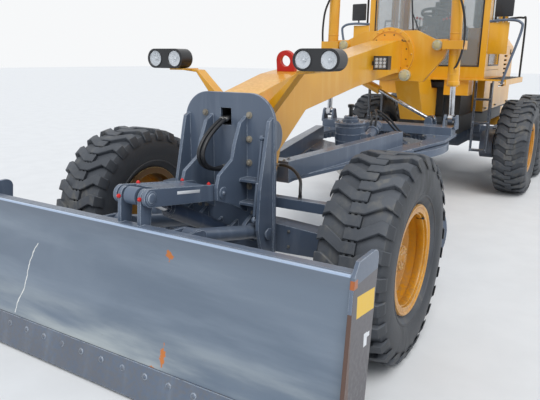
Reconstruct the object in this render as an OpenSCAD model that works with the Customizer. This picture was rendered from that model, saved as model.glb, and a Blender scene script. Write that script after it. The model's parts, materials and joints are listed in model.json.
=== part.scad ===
// Motor grader with a front dozer blade, standing in transport position.
// Millimetres, +Z up, the front of the machine towards -Y, its left side towards +X.

/* [Wheels] */
// Distance from the front axle to the middle of the tandem
wheelbase = 6219; // [5800:1:6600]
// Distance between the two wheels on one side of the tandem
tandem_pitch = 1538; // [1450:1:1650]
// Distance between the middles of the left and right tyres
track = 2190; // [2100:1:2300]
// Outer diameter of a tyre, over its lugs
tyre_d = 1340; // [1300:1:1380]
// Width of a tyre
tyre_w = 445; // [400:1:460]
// Height of the lugs of a tyre
lug_h = 29; // [20:1:32]
// Number of lugs on each half of a tyre
lug_count = 27; // [24:1:30]
// Radius of the bead seat of a rim
bead_r = 317.5; // [300:0.5:330]
// Width of a rim between its flanges
rim_w = 332; // [320:1:360]
// Height of a rim flange above the bead seat
flange_h = 38; // [25:1:45]
// Thickness of a rim's steel
rim_t = 14; // [10:1:18]
// Outward offset of a wheel disc from the middle of its tyre
disc_x = 20; // [0:1:40]
// Radius of a hub that fills the middle of a wheel disc
hub_r = 140; // [120:1:160]

/* [Front frame] */
// Width of the gooseneck beam
frame_w = 300; // [260:1:340]
// Depth of the gooseneck beam
frame_d = 290; // [240:1:330]
// Height of the top of the nose above the ground
nose_z = 1640; // [1560:1:1700]
// Height of the top of the gooseneck at the saddle
crest_z = 2085; // [2000:1:2200]
// Distance from the front axle to the saddle
saddle_y = 2930; // [2800:1:3000]
// Radius of the round plates of the saddle
saddle_r = 285; // [260:1:310]
// Thickness of the saddle yoke
saddle_t = 70; // [50:1:90]
// Distance from the front axle back to the hinge between the frames
hitch_y = 4440; // [4400:1:4500]
// Height of the tongue of the frame hinge
tongue_h = 390; // [340:1:420]
// Height of the underside of that tongue
tongue_z = 1130; // [1100:1:1180]
// Radius of the frame hinge pin
hitch_pin_r = 45; // [35:1:55]

/* [Front axle] */
// Distance between the two king pins
king_gap = 1600; // [1560:1:1640]
// Radius of a king pin
king_r = 28; // [22:1:32]
// Depth of the front axle beam at its middle
axle_d = 210; // [180:1:230]
// Width of the front axle beam, front to back
axle_w = 150; // [120:1:170]
// Height of the lean bar above the wheel centres
lean_bar_z = 245; // [230:1:260]
// Length of a steering arm
steer_arm = 300; // [280:1:320]

/* [Drawbar and circle] */
// Distance from the front axle back to the drawbar ball
ball_y = 330; // [300:1:380]
// Height of the drawbar ball
ball_z = 1030; // [1010:1:1050]
// Upward slope of the drawbar towards the rear
draw_pitch = 2.5; // [0.5:0.1:3]
// Angle by which the drawbar can be lowered
draw_drop = 22; // [15:1:24]
// Distance along the drawbar from the ball to the middle of the circle
circle_y = 2170; // [2130:1:2200]
// Outer radius of the circle
circle_r = 813; // [780:1:830]
// Width of the ring of the circle
circle_w = 140; // [120:1:150]
// Thickness of the circle
circle_t = 70; // [60:1:90]
// Height of a drawbar beam
beam_h = 140; // [110:1:160]
// Width of a drawbar beam
beam_w = 90; // [70:1:110]
// Angle of the circle in transport position, left end forward
blade_yaw = -53; // [-56:1:-46]
// Offset of the moldboard on its arms in transport position, to the left
mold_shift = -60; // [-300:1:300]
// Length of the moldboard
mold_l = 3965; // [3600:1:4000]
// Height of the moldboard
mold_h = 590; // [560:1:620]
// Radius of the curve of the moldboard's face
mold_r = 415; // [400:1:450]
// Thickness of the moldboard's plate
mold_t = 20; // [16:1:25]
// Distance between the trunnions of the lift cylinders
trunnion_gap = 1420; // [1360:1:1440]
// Height of these trunnions
trunnion_z = 2040; // [2000:1:2080]
// Distance between the balls at the lower ends of the lift cylinders
lift_ball_gap = 1460; // [1420:1:1500]
// Distance along the drawbar from its ball to those balls
lift_ball_y = 2620; // [2580:1:2650]
// Radius of a lift cylinder's barrel
lift_r = 60; // [50:1:65]
// Radius of a lift cylinder's rod
lift_rod_r = 28; // [24:1:32]

/* [Dozer blade] */
// Width of the dozer blade, over its end plates
dozer_w = 2770; // [2600:1:2900]
// Height of the dozer blade's face
dozer_h = 980; // [900:1:1000]
// Distance from the front axle to the blade's cutting edge
dozer_reach = 1320; // [1300:1:1400]
// Gap between the parked blade and the ground
dozer_gap = 20; // [10:1:40]
// Backward lean of the blade's top
dozer_lean = 120; // [100:1:140]
// Depth of the hollow of the blade's face
dozer_sag = 70; // [40:1:90]
// Thickness of the blade's plate
dozer_t = 14; // [10:1:20]
// Height of the bolted cutting edge
edge_h = 200; // [150:1:220]
// Front-to-back length of an end plate
end_plate_l = 270; // [240:1:290]
// Radius of the pins of the dozer linkage
link_pin_r = 25; // [20:1:28]
// Radius of a push arm
arm_r = 45; // [38:1:50]
// Distance between the two push arms
arm_gap = 540; // [500:1:580]
// Width of the upper link
link_w = 240; // [230:1:260]

/* [Rear frame and body] */
// Distance from the front axle to the tail
tail_reach = 8060; // [8000:1:8200]
// Width of the rear frame over its rails
rails_w = 860; // [820:1:900]
// Height of the rear frame's rails
rail_h = 240; // [200:1:260]
// Height of the top of the rails
rail_z = 1130; // [1100:1:1160]
// Width of a tandem case
tandem_w = 180; // [160:1:200]
// Height of a tandem case
tandem_h = 380; // [340:1:420]
// Width of the engine hood
hood_w = 1080; // [1040:1:1120]
// Height of the top of the engine hood
hood_z = 2280; // [2200:1:2340]
// Thickness of the hood's walls
hood_t = 25; // [15:1:30]

/* [Cab] */
// Height of the cab floor's top
floor_z = 1700; // [1680:1:1740]
// Height of the cab's roof line
roof_z = 3330; // [3200:1:3360]
// Width of the cab
cab_w = 1560; // [1500:1:1640]
// Distance from the front axle to the cab's front
cab_front = 4230; // [4200:1:4280]
// Length of the cab
cab_l = 1330; // [1280:1:1360]
// Thickness of cab walls and doors
wall_t = 50; // [40:1:60]
// Thickness of window glass
glass_t = 6; // [5:0.5:8]

/* [Hidden] */

// Colours
yellow = "#e0a21b";
slate = "#4c5664";
rubber_grey = "#2b2c2e";
bright = "#c9ccd0";
dark = "#26282b";

// Clearances
touch = 0.3;   // between seated pieces whose faces are curved
pin_gap = 0.05; // round a pin or spindle in its bore
run_gap = 8;   // between moving pieces that pass each other

// Places worked out from the sizes above
axle_y = (dozer_reach - tail_reach) / 2;
wheel_z = tyre_d / 2;
tyre_x = track / 2;
mid_axle = wheelbase - tandem_pitch / 2;
rear_axle = wheelbase + tandem_pitch / 2;
king_x = king_gap / 2;
hf = frame_w / 2;

// Dozer linkage pins, as [distance behind the front axle, height]
arm_pin = [-260, 755];
arm_tip = [-930, 905];
link_pin = [-470, 1050];
link_tip = [-1090, 1140];
jack_pin = [-262, 720];
jack_pin_r = 22;

// Centre shift cylinder: its trunnion, as [x, y, z] from the front axle, and its ear on the drawbar's plate
shift_top = [-580, saddle_y + 150, 1740];
shift_ear = [470, 2750, 130];
shift_r = 48;
shift_rod_r = 22;

// General helpers
module at_axle() translate([0, axle_y, 0]) children();
module both_sides() { children(); mirror([1, 0, 0]) children(); }
// Gives an outline drawn in (y, z) a thickness w along X, centred on x
module along_x(x, w) translate([x - w / 2, 0, 0]) rotate([90, 0, 90]) linear_extrude(w) children();
// Gives an outline drawn in (x, z) a thickness w along Y, centred on y
module along_y(y, w) translate([0, y + w / 2, 0]) rotate([90, 0, 0]) linear_extrude(w) children();
module rod_x(x, y, z, l, r) translate([x - l / 2, y, z]) rotate([0, 90, 0]) cylinder(h = l, r = r, $fn = 48);
module rod_y(x, y, z, l, r) translate([x, y + l / 2, z]) rotate([90, 0, 0]) cylinder(h = l, r = r, $fn = 48);
// Turns children that lie along +Z from the origin so that they run from a towards b
module aim(a, b) {
  v = b - a;
  translate(a) rotate([0, acos(v.z / norm(v)), atan2(v.y, v.x)]) children();
}
// A pin of length l whose middle is at p and whose axis runs along n
module pin_along(p, n, l, r) aim(p, p + n) translate([0, 0, -l / 2]) cylinder(h = l, r = r, $fn = 48);
module strut(a, b, r) aim(a, b) cylinder(h = norm(b - a), r = r, $fn = 48);
module box(x, y, z) translate([x[0], y[0], z[0]]) cube([x[1] - x[0], y[1] - y[0], z[1] - z[0]]);

// Front frame: one closed box beam from the nose over the saddle and down to the hinge
lean_bar_hh = 36;                            // half height of the lean bar
beam_foot = wheel_z + lean_bar_z + lean_bar_hh + 14;
nose_front = -165;
nose_back = 170;
saddle_d = 340;                              // depth of the beam at the saddle
saddle_hl = 220;                             // half length of that deep part
neck_drop = 200;                             // from the bend behind the saddle down to the tongue
tongue_r = 130;
ball_r = 62;
socket_hw = 80;
module front_frame() color(yellow) at_axle() {
  difference() {
    union() {
      along_x(0, frame_w) polygon([
        [nose_front, beam_foot], [nose_front, nose_z - 50], [nose_front + 55, nose_z], [450, nose_z + 135],
        [1300, nose_z + 240], [saddle_y - saddle_hl, crest_z], [saddle_y + saddle_hl, crest_z],
        [saddle_y + 670, crest_z - 70], [hitch_y - 410, tongue_z + tongue_h + neck_drop],
        [hitch_y - 260, tongue_z + tongue_h], [hitch_y, tongue_z + tongue_h], [hitch_y, tongue_z],
        [hitch_y - 560, tongue_z], [hitch_y - 900, crest_z - saddle_d - 65],
        [saddle_y + saddle_hl, crest_z - saddle_d], [saddle_y - saddle_hl, crest_z - saddle_d], [1650, nose_z],
        [650, nose_z - 140], [nose_back + 90, beam_foot + 275], [nose_back, beam_foot]]);
      translate([0, hitch_y, tongue_z]) cylinder(h = tongue_h, r = tongue_r, $fn = 64);
      // pivot plates of the axle, at the foot of the nose
      for (y = [-axle_w / 2 - 30, axle_w / 2 + 30]) along_y(y, 2 * (30 - touch)) hull() {
        translate([0, wheel_z]) circle(r = 110, $fn = 48);
        translate([-frame_w / 2, beam_foot + 10]) square([frame_w, 20]);
      }
      // socket of the drawbar's ball, behind the nose
      box([-socket_hw, socket_hw], [nose_back - 20, ball_y - 10], [ball_z - 75, ball_z + 75]);
      // pads of the work lamps
      both_sides() box([hf - 10, hf + 20], [2000, 2100], [1780, 1830]);
    }
    translate([0, hitch_y, tongue_z - 1]) cylinder(h = tongue_h + 2, r = hitch_pin_r + pin_gap, $fn = 64);
    translate([0, ball_y, ball_z]) sphere(r = ball_r + touch, $fn = 64);
    box(slot_x, [nose_front - 1, nose_front + slot_d], slot_z);
  }
}

// Dozer mount: ribbed plate bolted to the front of the nose
mount_y = -190;
mount_top = 1670;
mount_low = 600;
mount_hw = 370;
shoulder_r = 200;   // of the plate's upper corners
rib_x = mount_hw - 25;
cheek_y = 130;      // centre of the round end of a side cheek
cheek_z = 1345;
cheek_r = 120;
slot_x = [-65, 25];  // slot that the hoses come through
slot_z = [1450, 1565];
slot_d = 120;        // depth of the slot in the nose
inner_rib_x = link_w / 2 + run_gap + 12;
module mount_rib(x, t) along_x(x, t) polygon([[mount_y + 5, mount_top - 150], [mount_y - 40, mount_top - 170],
  [mount_y - 60, mount_top - 240], [mount_y - 110, 1225], [mount_y - 150, 1065], [mount_y - 175, mount_low + 200],
  [mount_y - 120, mount_low], [mount_y + 5, mount_low]]);
module dozer_mount() color(slate) at_axle() {
  along_y(mount_y + 12.5, 25 - touch) difference() {
    union() {
      translate([-mount_hw, mount_low]) square([2 * mount_hw, mount_top - shoulder_r - mount_low]);
      translate([shoulder_r - mount_hw, mount_low]) square([2 * (mount_hw - shoulder_r), mount_top - mount_low]);
      for (x = [shoulder_r - mount_hw, mount_hw - shoulder_r])
        translate([x, mount_top - shoulder_r]) circle(r = shoulder_r, $fn = 64);
    }
    translate([slot_x[0], slot_z[0]]) square([slot_x[1] - slot_x[0], slot_z[1] - slot_z[0]]);
  }
  both_sides() {
    mount_rib(rib_x, 24);
    // half round cheeks against the sides of the nose
    along_x(hf + touch + 10, 20) {
      translate([mount_y + 20, cheek_z - cheek_r]) square([cheek_y - mount_y - 20, 2 * cheek_r]);
      translate([cheek_y, cheek_z]) circle(r = cheek_r, $fn = 48);
    }
    along_x(inner_rib_x, 24) polygon([[mount_y + 5, 1520], [mount_y - 70, 1480], [mount_y - 135, 1345],
      [mount_y - 165, 1250], [mount_y - 310, 1170], [link_pin[0] - 60, link_pin[1] + 40],
      [link_pin[0] - 60, link_pin[1] - 40], [mount_y - 200, 960], [mount_y + 5, 860]]);
    for (z = [1090, 930]) box([inner_rib_x, rib_x], [mount_y - 90, mount_y + 5], [z, z + 20]);
    // bearing lugs and pin of a push arm
    for (x = [arm_gap / 2 - 72, arm_gap / 2 + 72]) along_x(x, 26) hull() {
      translate(arm_pin) circle(r = 62, $fn = 32);
      translate([mount_y - 2, arm_pin[1] - 100]) square([8, 200]);
    }
    rod_x(arm_gap / 2, arm_pin[0], arm_pin[1], 200, link_pin_r);
  }
  rod_x(0, link_pin[0], link_pin[1], 2 * inner_rib_x + 24, link_pin_r);
  // bearing of the lift cylinder
  for (x = [-66, 66]) along_x(x, 20) hull() {
    translate(jack_pin) circle(r = 45, $fn = 32);
    translate([mount_y - 2, jack_pin[1] - 70]) square([8, 140]);
  }
  rod_x(0, jack_pin[0], jack_pin[1], 152, jack_pin_r);
}

// Folded arms that carry the headlamps
lamp_x = 615;
lamp_y = -70;
lamp_z = 1885;
lamp_r = 69;
module lamp_arms() color(yellow) at_axle() both_sides() {
  along_y(50, 90) polygon([[hf + touch, cheek_z + cheek_r + 12], [hf + 20, cheek_z + cheek_r + 12],
    [lamp_x - 190, lamp_z - 95], [lamp_x - 20, lamp_z - 78], [lamp_x - 20, lamp_z - 66], [lamp_x - 200, lamp_z - 80],
    [hf + touch, cheek_z + cheek_r + 95]]);
  box([lamp_x - 150, lamp_x - 20], [lamp_y - 20, 80], [lamp_z - 80, lamp_z - lamp_r - touch]);
}

module lamps() color(dark) at_axle() both_sides() {
  difference() {
    along_y(lamp_y + 10, 120) hull() for (x = [lamp_x - 95, lamp_x + 95]) translate([x, lamp_z]) circle(r = lamp_r, $fn = 48);
    for (x = [lamp_x - 90, lamp_x + 90]) rod_y(x, lamp_y - 50, lamp_z, 60, 58);
  }
  // square work lamps on the sides of the beam
  box([hf + 22, hf + 170], [1990, 2080], [1790, 1920]);
  box([hf + touch, hf + 22], [2010, 2060], [1830.3, 1870]);
}

// Top of the gooseneck over the nose, where it rises evenly
function nose_top(y) = nose_z + 135 + (y - 450) * 105 / 850;
lift_eye_y = 600;
lift_ring_r = 80;
lift_hole_r = 42;
module lifting_eye() color("red") at_axle() translate([0, lift_eye_y, nose_top(lift_eye_y) + touch])
  rotate([atan(105 / 850), 0, 0]) along_y(0, 32) difference() {
    union() {
      translate([-lift_ring_r, 0]) square([2 * lift_ring_r, lift_ring_r]);
      translate([0, lift_ring_r]) circle(r = lift_ring_r, $fn = 48);
    }
    translate([0, lift_ring_r]) circle(r = lift_hole_r, $fn = 48);
  }

// Hoses: a smooth curve through hand-set points, with rings of eight corners square to it
function spline(p, i, t) = let (a = p[max(i - 1, 0)], b = p[i], c = p[i + 1], d = p[min(i + 2, len(p) - 1)])
  (2 * b + (c - a) * t + (2 * a - 5 * b + 4 * c - d) * t * t + (3 * b - a - 3 * c + d) * t * t * t) / 2;
function curve(p, k) = concat([for (i = [0:len(p) - 2], j = [0:k - 1]) spline(p, i, j / k)], [p[len(p) - 1]]);
function heading(p, c, i) = i == 0 ? p[1] - p[0] : i == len(c) - 1 ? p[len(p) - 1] - p[len(p) - 2] : c[i + 1] - c[i - 1];
// side is a direction that the curve never runs along
module hose(p, r, side, k) {
  c = curve(p, k);
  n = len(c);
  polyhedron(
    points = [for (i = [0:n - 1]) let (h = heading(p, c, i), u = cross(h, side) / norm(cross(h, side)),
      v = cross(h, u) / norm(h), j = [0:7]) for (m = j) c[i] + r * (cos(45 * m) * u + sin(45 * m) * v)],
    faces = concat([[for (m = [0:7]) m]], [[for (m = [7:-1:0]) 8 * (n - 1) + m]],
      [for (i = [0:n - 2], m = [0:7]) [8 * i + m, 8 * i + 8 + m, 8 * i + 8 + (m + 1) % 8]],
      [for (i = [0:n - 2], m = [0:7]) [8 * i + m, 8 * i + 8 + (m + 1) % 8, 8 * i + (m + 1) % 8]]));
}
blade_hose = [[0, -45.3, 1500], [0, -120, 1500], [0, -210, 1490], [0, -315, 1445], [0, -420, 1370], [0, -470, 1290],
  [0, -440, 1215], [0, -330, 1165], [0, -190.3, 1160]];
axle_hose = [[150.3, 200, 1130], [235, 200, 1130], [340, 140, 1112], [430, 60, 1070], [464, 0, 1010], [464, 0, 951.3]];
module hoses() color(dark) at_axle() {
  for (x = [-38, -4]) translate([x, 0, 0]) hose(blade_hose, 13, [1, 0, 0], 3);
  hose(axle_hose, 11, [0, 1, 0], 4);
}

// Front axle: beam, lean bar and the forks that hold the king pins
king_fork_h = 330;
fork_t = 50;
fork_x = king_x - 120;
module front_axle() color(slate) at_axle() difference() {
  union() {
    along_y(0, axle_w) polygon([[-fork_x - 20, wheel_z - 90], [-300, wheel_z - axle_d / 2],
      [300, wheel_z - axle_d / 2], [fork_x + 20, wheel_z - 90], [fork_x + 20, wheel_z + 80],
      [300, wheel_z + axle_d / 2], [-300, wheel_z + axle_d / 2], [-fork_x - 20, wheel_z + 80]]);
    box([-fork_x - 20, fork_x + 20], [-35, 35], [wheel_z + lean_bar_z - lean_bar_hh, wheel_z + lean_bar_z + lean_bar_hh]);
    both_sides() {
      box([fork_x, fork_x + fork_t], [-60, 60], [wheel_z - king_fork_h / 2, wheel_z + lean_bar_z + lean_bar_hh]);
      for (z = [wheel_z - king_fork_h / 2, wheel_z + king_fork_h / 2 - fork_t]) {
        box([fork_x + 20, king_x], [-60, 60], [z, z + fork_t]);
        translate([king_x, 0, z]) cylinder(h = fork_t, r = 60, $fn = 48);
      }
    }
  }
  both_sides() translate([king_x, 0, wheel_z - king_fork_h])
    cylinder(h = 2 * king_fork_h, r = king_r + pin_gap, $fn = 48);
}

// Saddle: fixed round plates on the beam, and the yoke that carries the cylinders
ring_hw = 100;
ring_t = 25;
trunnion_r = 22;
lug_t = 26;
shift_lug_y = shift_r + run_gap;    // from the middle of the shift cylinder to its lugs
yoke_low = crest_z - saddle_d - 90;
yoke_x = trunnion_gap / 2 - 80;
module yoke_half() polygon([[-1, yoke_low], [yoke_x - 230, yoke_low], [yoke_x - 30, trunnion_z - 140],
  [yoke_x, trunnion_z - 60], [yoke_x, trunnion_z + 60], [yoke_x - 130, trunnion_z + 60], [yoke_x - 330, crest_z + 110],
  [-1, crest_z + 110]]);
module shift_lug(y, t) along_y(y, t) hull() {
  translate([shift_top.x, shift_top.z]) circle(r = 46, $fn = 32);
  translate([shift_top.x + 60, shift_top.z + 60]) square([120, 80]);
}
// Round plate of the saddle: disc with a raised rim and lock holes
module saddle_disc() difference() {
  rod_y(0, saddle_y, disc_z, saddle_t + 2 * disc_step, saddle_r);
  rod_y(0, saddle_y - saddle_t / 2 - disc_step, disc_z, 2 * disc_cut, saddle_r - 45);
  for (a = [30, 90, 150, 210, 330])
    rod_y((saddle_r - 24) * cos(a), saddle_y - saddle_t / 2 - disc_step, disc_z + (saddle_r - 24) * sin(a), 20, 13);
}
disc_z = crest_z - saddle_d / 2 + 30;
disc_step = 30;   // by which the round plate stands out from the yoke
disc_cut = 10;    // depth of the flat inside its rim
module saddle() color(yellow) at_axle() difference() {
  union() {
    along_y(saddle_y, saddle_t) {
      yoke_half();
      mirror([1, 0]) yoke_half();
    }
    saddle_disc();
    both_sides() rod_y(trunnion_gap / 2 - 170, saddle_y, trunnion_z, saddle_t + 80, 60);
    // frames that carry the trunnions of the lift cylinders
    both_sides() translate(lift_top) difference() {
      box([-ring_hw - 10, ring_hw], [-105, 105], [-45, 45]);
      box([-ring_hw + ring_t, ring_hw - ring_t], [-80, 80], [-50, 50]);
    }
    // lugs of the centre shift cylinder, joined by a bridge over it
    shift_lug((saddle_y + saddle_t / 2 - 5 + shift_top.y - shift_lug_y) / 2,
      shift_top.y - shift_lug_y - saddle_y - saddle_t / 2 + 5);
    shift_lug(shift_top.y + shift_lug_y + lug_t / 2, lug_t);
    box([shift_top.x + 60, shift_top.x + 140], [saddle_y, shift_top.y + shift_lug_y + lug_t],
      [shift_top.z + 90, shift_top.z + 140]);
  }
  box([-hf - touch, hf + touch], [saddle_y - 200, saddle_y + 200], [crest_z - saddle_d - touch, crest_z + touch]);
  both_sides() pin_along(lift_top, lift_axis, 300, trunnion_r + pin_gap);
  pin_along(shift_top, shift_axis, 300, trunnion_r + pin_gap);
}

// Steering knuckles: king pin, block, spindle and steering arm; drawn for the left side
spindle_r = 55;
spindle_l = tyre_x - king_x + 70;
block_hh = king_fork_h / 2 - fork_t - 0.5;
arm_drop = king_fork_h / 2 + run_gap;   // from a wheel's centre down to the top of its steering arm
steer_t = 32;
steer_pin_r = 16;
module knuckle() at_axle() translate([king_x, 0, wheel_z]) {
  translate([0, 0, -arm_drop - steer_t]) cylinder(h = arm_drop + steer_t + king_fork_h / 2 + 10, r = king_r, $fn = 48);
  translate([0, 0, -block_hh]) cylinder(h = 2 * block_hh, r = 58, $fn = 48);
  rod_x(spindle_l / 2, 0, 0, spindle_l, spindle_r);
  rod_x(88, 0, 0, 24, 105);
  translate([0, 0, -arm_drop - steer_t]) {
    cylinder(h = steer_t, r = 58, $fn = 48);
    box([-28, 28], [0, steer_arm], [0, steer_t]);
    translate([0, steer_arm, 0]) cylinder(h = steer_t, r = 38, $fn = 48);
    translate([0, steer_arm, -42]) cylinder(h = 60, r = steer_pin_r, $fn = 48);
  }
}
module knuckle_left() color(slate) knuckle();
module knuckle_right() color(slate) mirror([1, 0, 0]) knuckle();

module tie_rod() color(slate) at_axle() translate([0, steer_arm, wheel_z - arm_drop - steer_t - 21]) difference() {
  union() {
    rod_x(0, 0, 0, king_gap - 60, 17);
    both_sides() translate([king_x, 0, -20]) cylinder(h = 40, r = 36, $fn = 48);
  }
  both_sides() translate([king_x, 0, -30]) cylinder(h = 60, r = steer_pin_r + pin_gap, $fn = 48);
}

// Wheels: a wheel's axis is its local X, its outer side towards +X
module rim() rotate([0, 90, 0]) difference() {
  rotate_extrude($fn = 96) {
    // flanges, bead seats and well
    polygon([[bead_r, -rim_w / 2 - rim_t], [bead_r + flange_h, -rim_w / 2 - rim_t], [bead_r + flange_h, -rim_w / 2],
      [bead_r, -rim_w / 2], [bead_r, -90], [bead_r - 25, -60], [bead_r - 25, 20], [bead_r, 50], [bead_r, rim_w / 2],
      [bead_r + flange_h, rim_w / 2], [bead_r + flange_h, rim_w / 2 + rim_t], [bead_r - rim_t, rim_w / 2 + rim_t],
      [bead_r - rim_t, 54], [bead_r - 25 - rim_t, 24], [bead_r - 25 - rim_t, -64], [bead_r - rim_t, -94],
      [bead_r - rim_t, -rim_w / 2 - rim_t]]);
    // disc and hub
    polygon([[spindle_r + pin_gap, -75], [hub_r, -75], [hub_r, disc_x - 18], [bead_r - 25 - rim_t + 1, disc_x - 18],
      [bead_r - 25 - rim_t + 1, disc_x], [hub_r + 60, disc_x], [hub_r + 50, disc_x + 12], [95, disc_x + 12],
      [95, 95], [80, 108], [spindle_r + pin_gap, 108]]);
    // hub cap
    polygon([[0, 92], [spindle_r + pin_gap + 1, 92], [spindle_r + pin_gap + 1, 108], [50, 120], [0, 124]]);
  }
}

// Tyre: carcass, and lugs whose halves are half a step apart
// Edges of a lug: [distance from the tyre's middle, angle of one edge, angle of the other]
lug_edges = [[-42, 0, 5.7], [42, 0, 5.7], [52, 0.2, 6.7], [155, 5.4, 12], [196, 4.4, 11.4], [222, 4.2, 11.2]];
lug_mid = 6;        // angle at the middle of a lug
lug_root = 110;     // from the tips of the lugs down to where they start inside the carcass
module lug() translate([tyre_d / 2 - lug_root, 0, 0]) rotate([0, 90, 0]) linear_extrude(lug_root + 20) polygon(concat(
  [for (e = lug_edges) [-e[0], -tyre_d / 2 * sin(e[1] - lug_mid)]],
  [for (i = [5:-1:0]) [-lug_edges[i][0], -tyre_d / 2 * sin(lug_edges[i][2] - lug_mid)]]));
module tyre() rotate([0, 90, 0]) {
  b = rim_w / 2 - touch;
  w = tyre_w / 2;
  r0 = bead_r + touch;
  r1 = tyre_d / 2;
  r2 = r1 - lug_h;
  r3 = bead_r + flange_h;
  rotate_extrude($fn = 96) polygon([[r0, -b], [r3 + 6, -b], [r3 + 20, -b - 12], [r0 + 0.45 * (r1 - r0), -w],
    [r1 - 85, -w + 1], [r2 - 13, -w + 27], [r2 - 3, -w + 68], [r2, -60], [r2, 60], [r2 - 3, w - 68], [r2 - 13, w - 27],
    [r1 - 85, w - 1], [r0 + 0.45 * (r1 - r0), w], [r3 + 20, b + 12], [r3 + 6, b], [r0, b], [r0, b - 60],
    [r0 + 60, b - 20], [r1 - 90, b - 10], [r1 - 70, 0], [r1 - 90, -b + 10], [r0 + 60, -b + 20], [r0, -b + 60]]);
  intersection() {
    rotate_extrude($fn = 96) polygon([[r1 - 100, 23 - w], [r1 - 92, 0.5 - w], [r1 - 68, 0.5 - w], [r1 - 15, 27 - w],
      [r1 - 3, 68 - w], [r1, -60], [r1, 60], [r1 - 3, w - 68], [r1 - 15, w - 27], [r1 - 68, w - 0.5],
      [r1 - 92, w - 0.5], [r1 - 100, w - 23], [r1 - 55, w - 72], [r1 - 55, 72 - w]]);
    for (i = [0:lug_count - 1]) {
      rotate(i * 360 / lug_count) lug();
      rotate((i + 0.5) * 360 / lug_count) mirror([0, 0, 1]) lug();
    }
  }
}

module wheel_at(side, y) at_axle() translate([side * tyre_x, y, wheel_z]) rotate([0, 0, side > 0 ? 0 : 180]) children();
module rim_front_left() color(yellow) wheel_at(1, 0) rim();
module rim_front_right() color(yellow) wheel_at(-1, 0) rim();
module rim_mid_left() color(yellow) wheel_at(1, mid_axle) rim();
module rim_mid_right() color(yellow) wheel_at(-1, mid_axle) rim();
module rim_rear_left() color(yellow) wheel_at(1, rear_axle) rim();
module rim_rear_right() color(yellow) wheel_at(-1, rear_axle) rim();
module tyre_front_left() color(rubber_grey) at_axle() translate([tyre_x, 0, wheel_z]) tyre();
module tyre_front_right() color(rubber_grey) at_axle() translate([-tyre_x, 0, wheel_z]) tyre();
module tyre_mid_left() color(rubber_grey) at_axle() translate([tyre_x, mid_axle, wheel_z]) tyre();
module tyre_mid_right() color(rubber_grey) at_axle() translate([-tyre_x, mid_axle, wheel_z]) tyre();
module tyre_rear_left() color(rubber_grey) at_axle() translate([tyre_x, rear_axle, wheel_z]) tyre();
module tyre_rear_right() color(rubber_grey) at_axle() translate([-tyre_x, rear_axle, wheel_z]) tyre();

// Drawbar: drawn from below its front ball, then sloped up towards the rear
ball_up = 50;   // height of the ball over the drawbar's plate
module on_drawbar() at_axle() translate([0, ball_y, ball_z]) rotate([draw_pitch, 0, 0]) translate([0, 0, -ball_up])
  children();
function drawbar_point(x, y, z) = [x, ball_y + y * cos(draw_pitch) - (z - ball_up) * sin(draw_pitch),
  ball_z + y * sin(draw_pitch) + (z - ball_up) * cos(draw_pitch)];
// Where a point of the drawbar comes to when the drawbar is fully down
function lowered(p) = [p.x, ball_y + (p.y - ball_y) * cos(draw_drop) + (p.z - ball_z) * sin(draw_drop),
  ball_z - (p.y - ball_y) * sin(draw_drop) + (p.z - ball_z) * cos(draw_drop)];
// Axis round which a cylinder at pivot p swings while its rod's eye goes from a down with the drawbar
function swing_axis(p, a) = let (n = cross(lowered(a) - p, a - p)) n / norm(n);
plate_t = 30;
lift_ball_x = lift_ball_gap / 2;
lift_ball_z = 175;   // height of the lift balls over the drawbar's plate
lift_ball_r = 18;
cheek_t = 20;
cheek_gap = 104;     // between the ears round a rod's eye
shift_gap = 136;     // between the ears of the centre shift cylinder
corner_y = circle_y - 400;
side_x = lift_ball_x + 50;
lift_top = [trunnion_gap / 2, saddle_y, trunnion_z];
lift_eye = drawbar_point(lift_ball_x, lift_ball_y, lift_ball_z);
lift_axis = swing_axis(lift_top, lift_eye);
shift_eye = drawbar_point(shift_ear.x, shift_ear.y, shift_ear.z);
shift_axis = swing_axis(shift_top, shift_eye);
module drawbar() color(slate) on_drawbar() {
  both_sides() linear_extrude(beam_h) polygon([[60, 60], [150, 60], [480, corner_y], [480 - beam_w, corner_y], [60, 150]]);
  translate([0, 0, -plate_t]) linear_extrude(plate_t) difference() {
    polygon([[-120, 60], [120, 60], [480, corner_y - 600], [side_x, circle_y + 60], [side_x, lift_ball_y + 90],
      [520, circle_y + circle_r - 150], [-520, circle_y + circle_r - 150], [-side_x, lift_ball_y + 90],
      [-side_x, circle_y + 60], [-480, corner_y - 600]]);
    translate([0, circle_y]) circle(r = circle_r - circle_w - 90, $fn = 96);
    polygon([[-60, 300], [60, 300], [270, corner_y - 560], [-270, corner_y - 560]]);
  }
  // cross beam that carries the lift balls, and their ears
  box([-lift_ball_x - 40, lift_ball_x + 40], [lift_ball_y - 110, lift_ball_y + 70], [0, 90]);
  both_sides() {
    for (d = [-1, 1]) along_x(lift_ball_x + d * (cheek_gap + cheek_t) / 2, cheek_t) hull() {
      translate([lift_ball_y, lift_ball_z]) circle(r = 40, $fn = 32);
      translate([lift_ball_y - 70, 60]) square([140, 20]);
    }
    rod_x(lift_ball_x, lift_ball_y, lift_ball_z, cheek_gap + 2 * cheek_t, lift_ball_r);
  }
  // front block, ball and its neck
  box([-150, 150], [60, 170], [-plate_t, beam_h]);
  rod_y(0, 60, ball_up, 140, 50);
  translate([0, 0, ball_up]) sphere(r = ball_r, $fn = 48);
  circle_drive();
  shift_bracket();
  circle_shoes();
}
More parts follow.
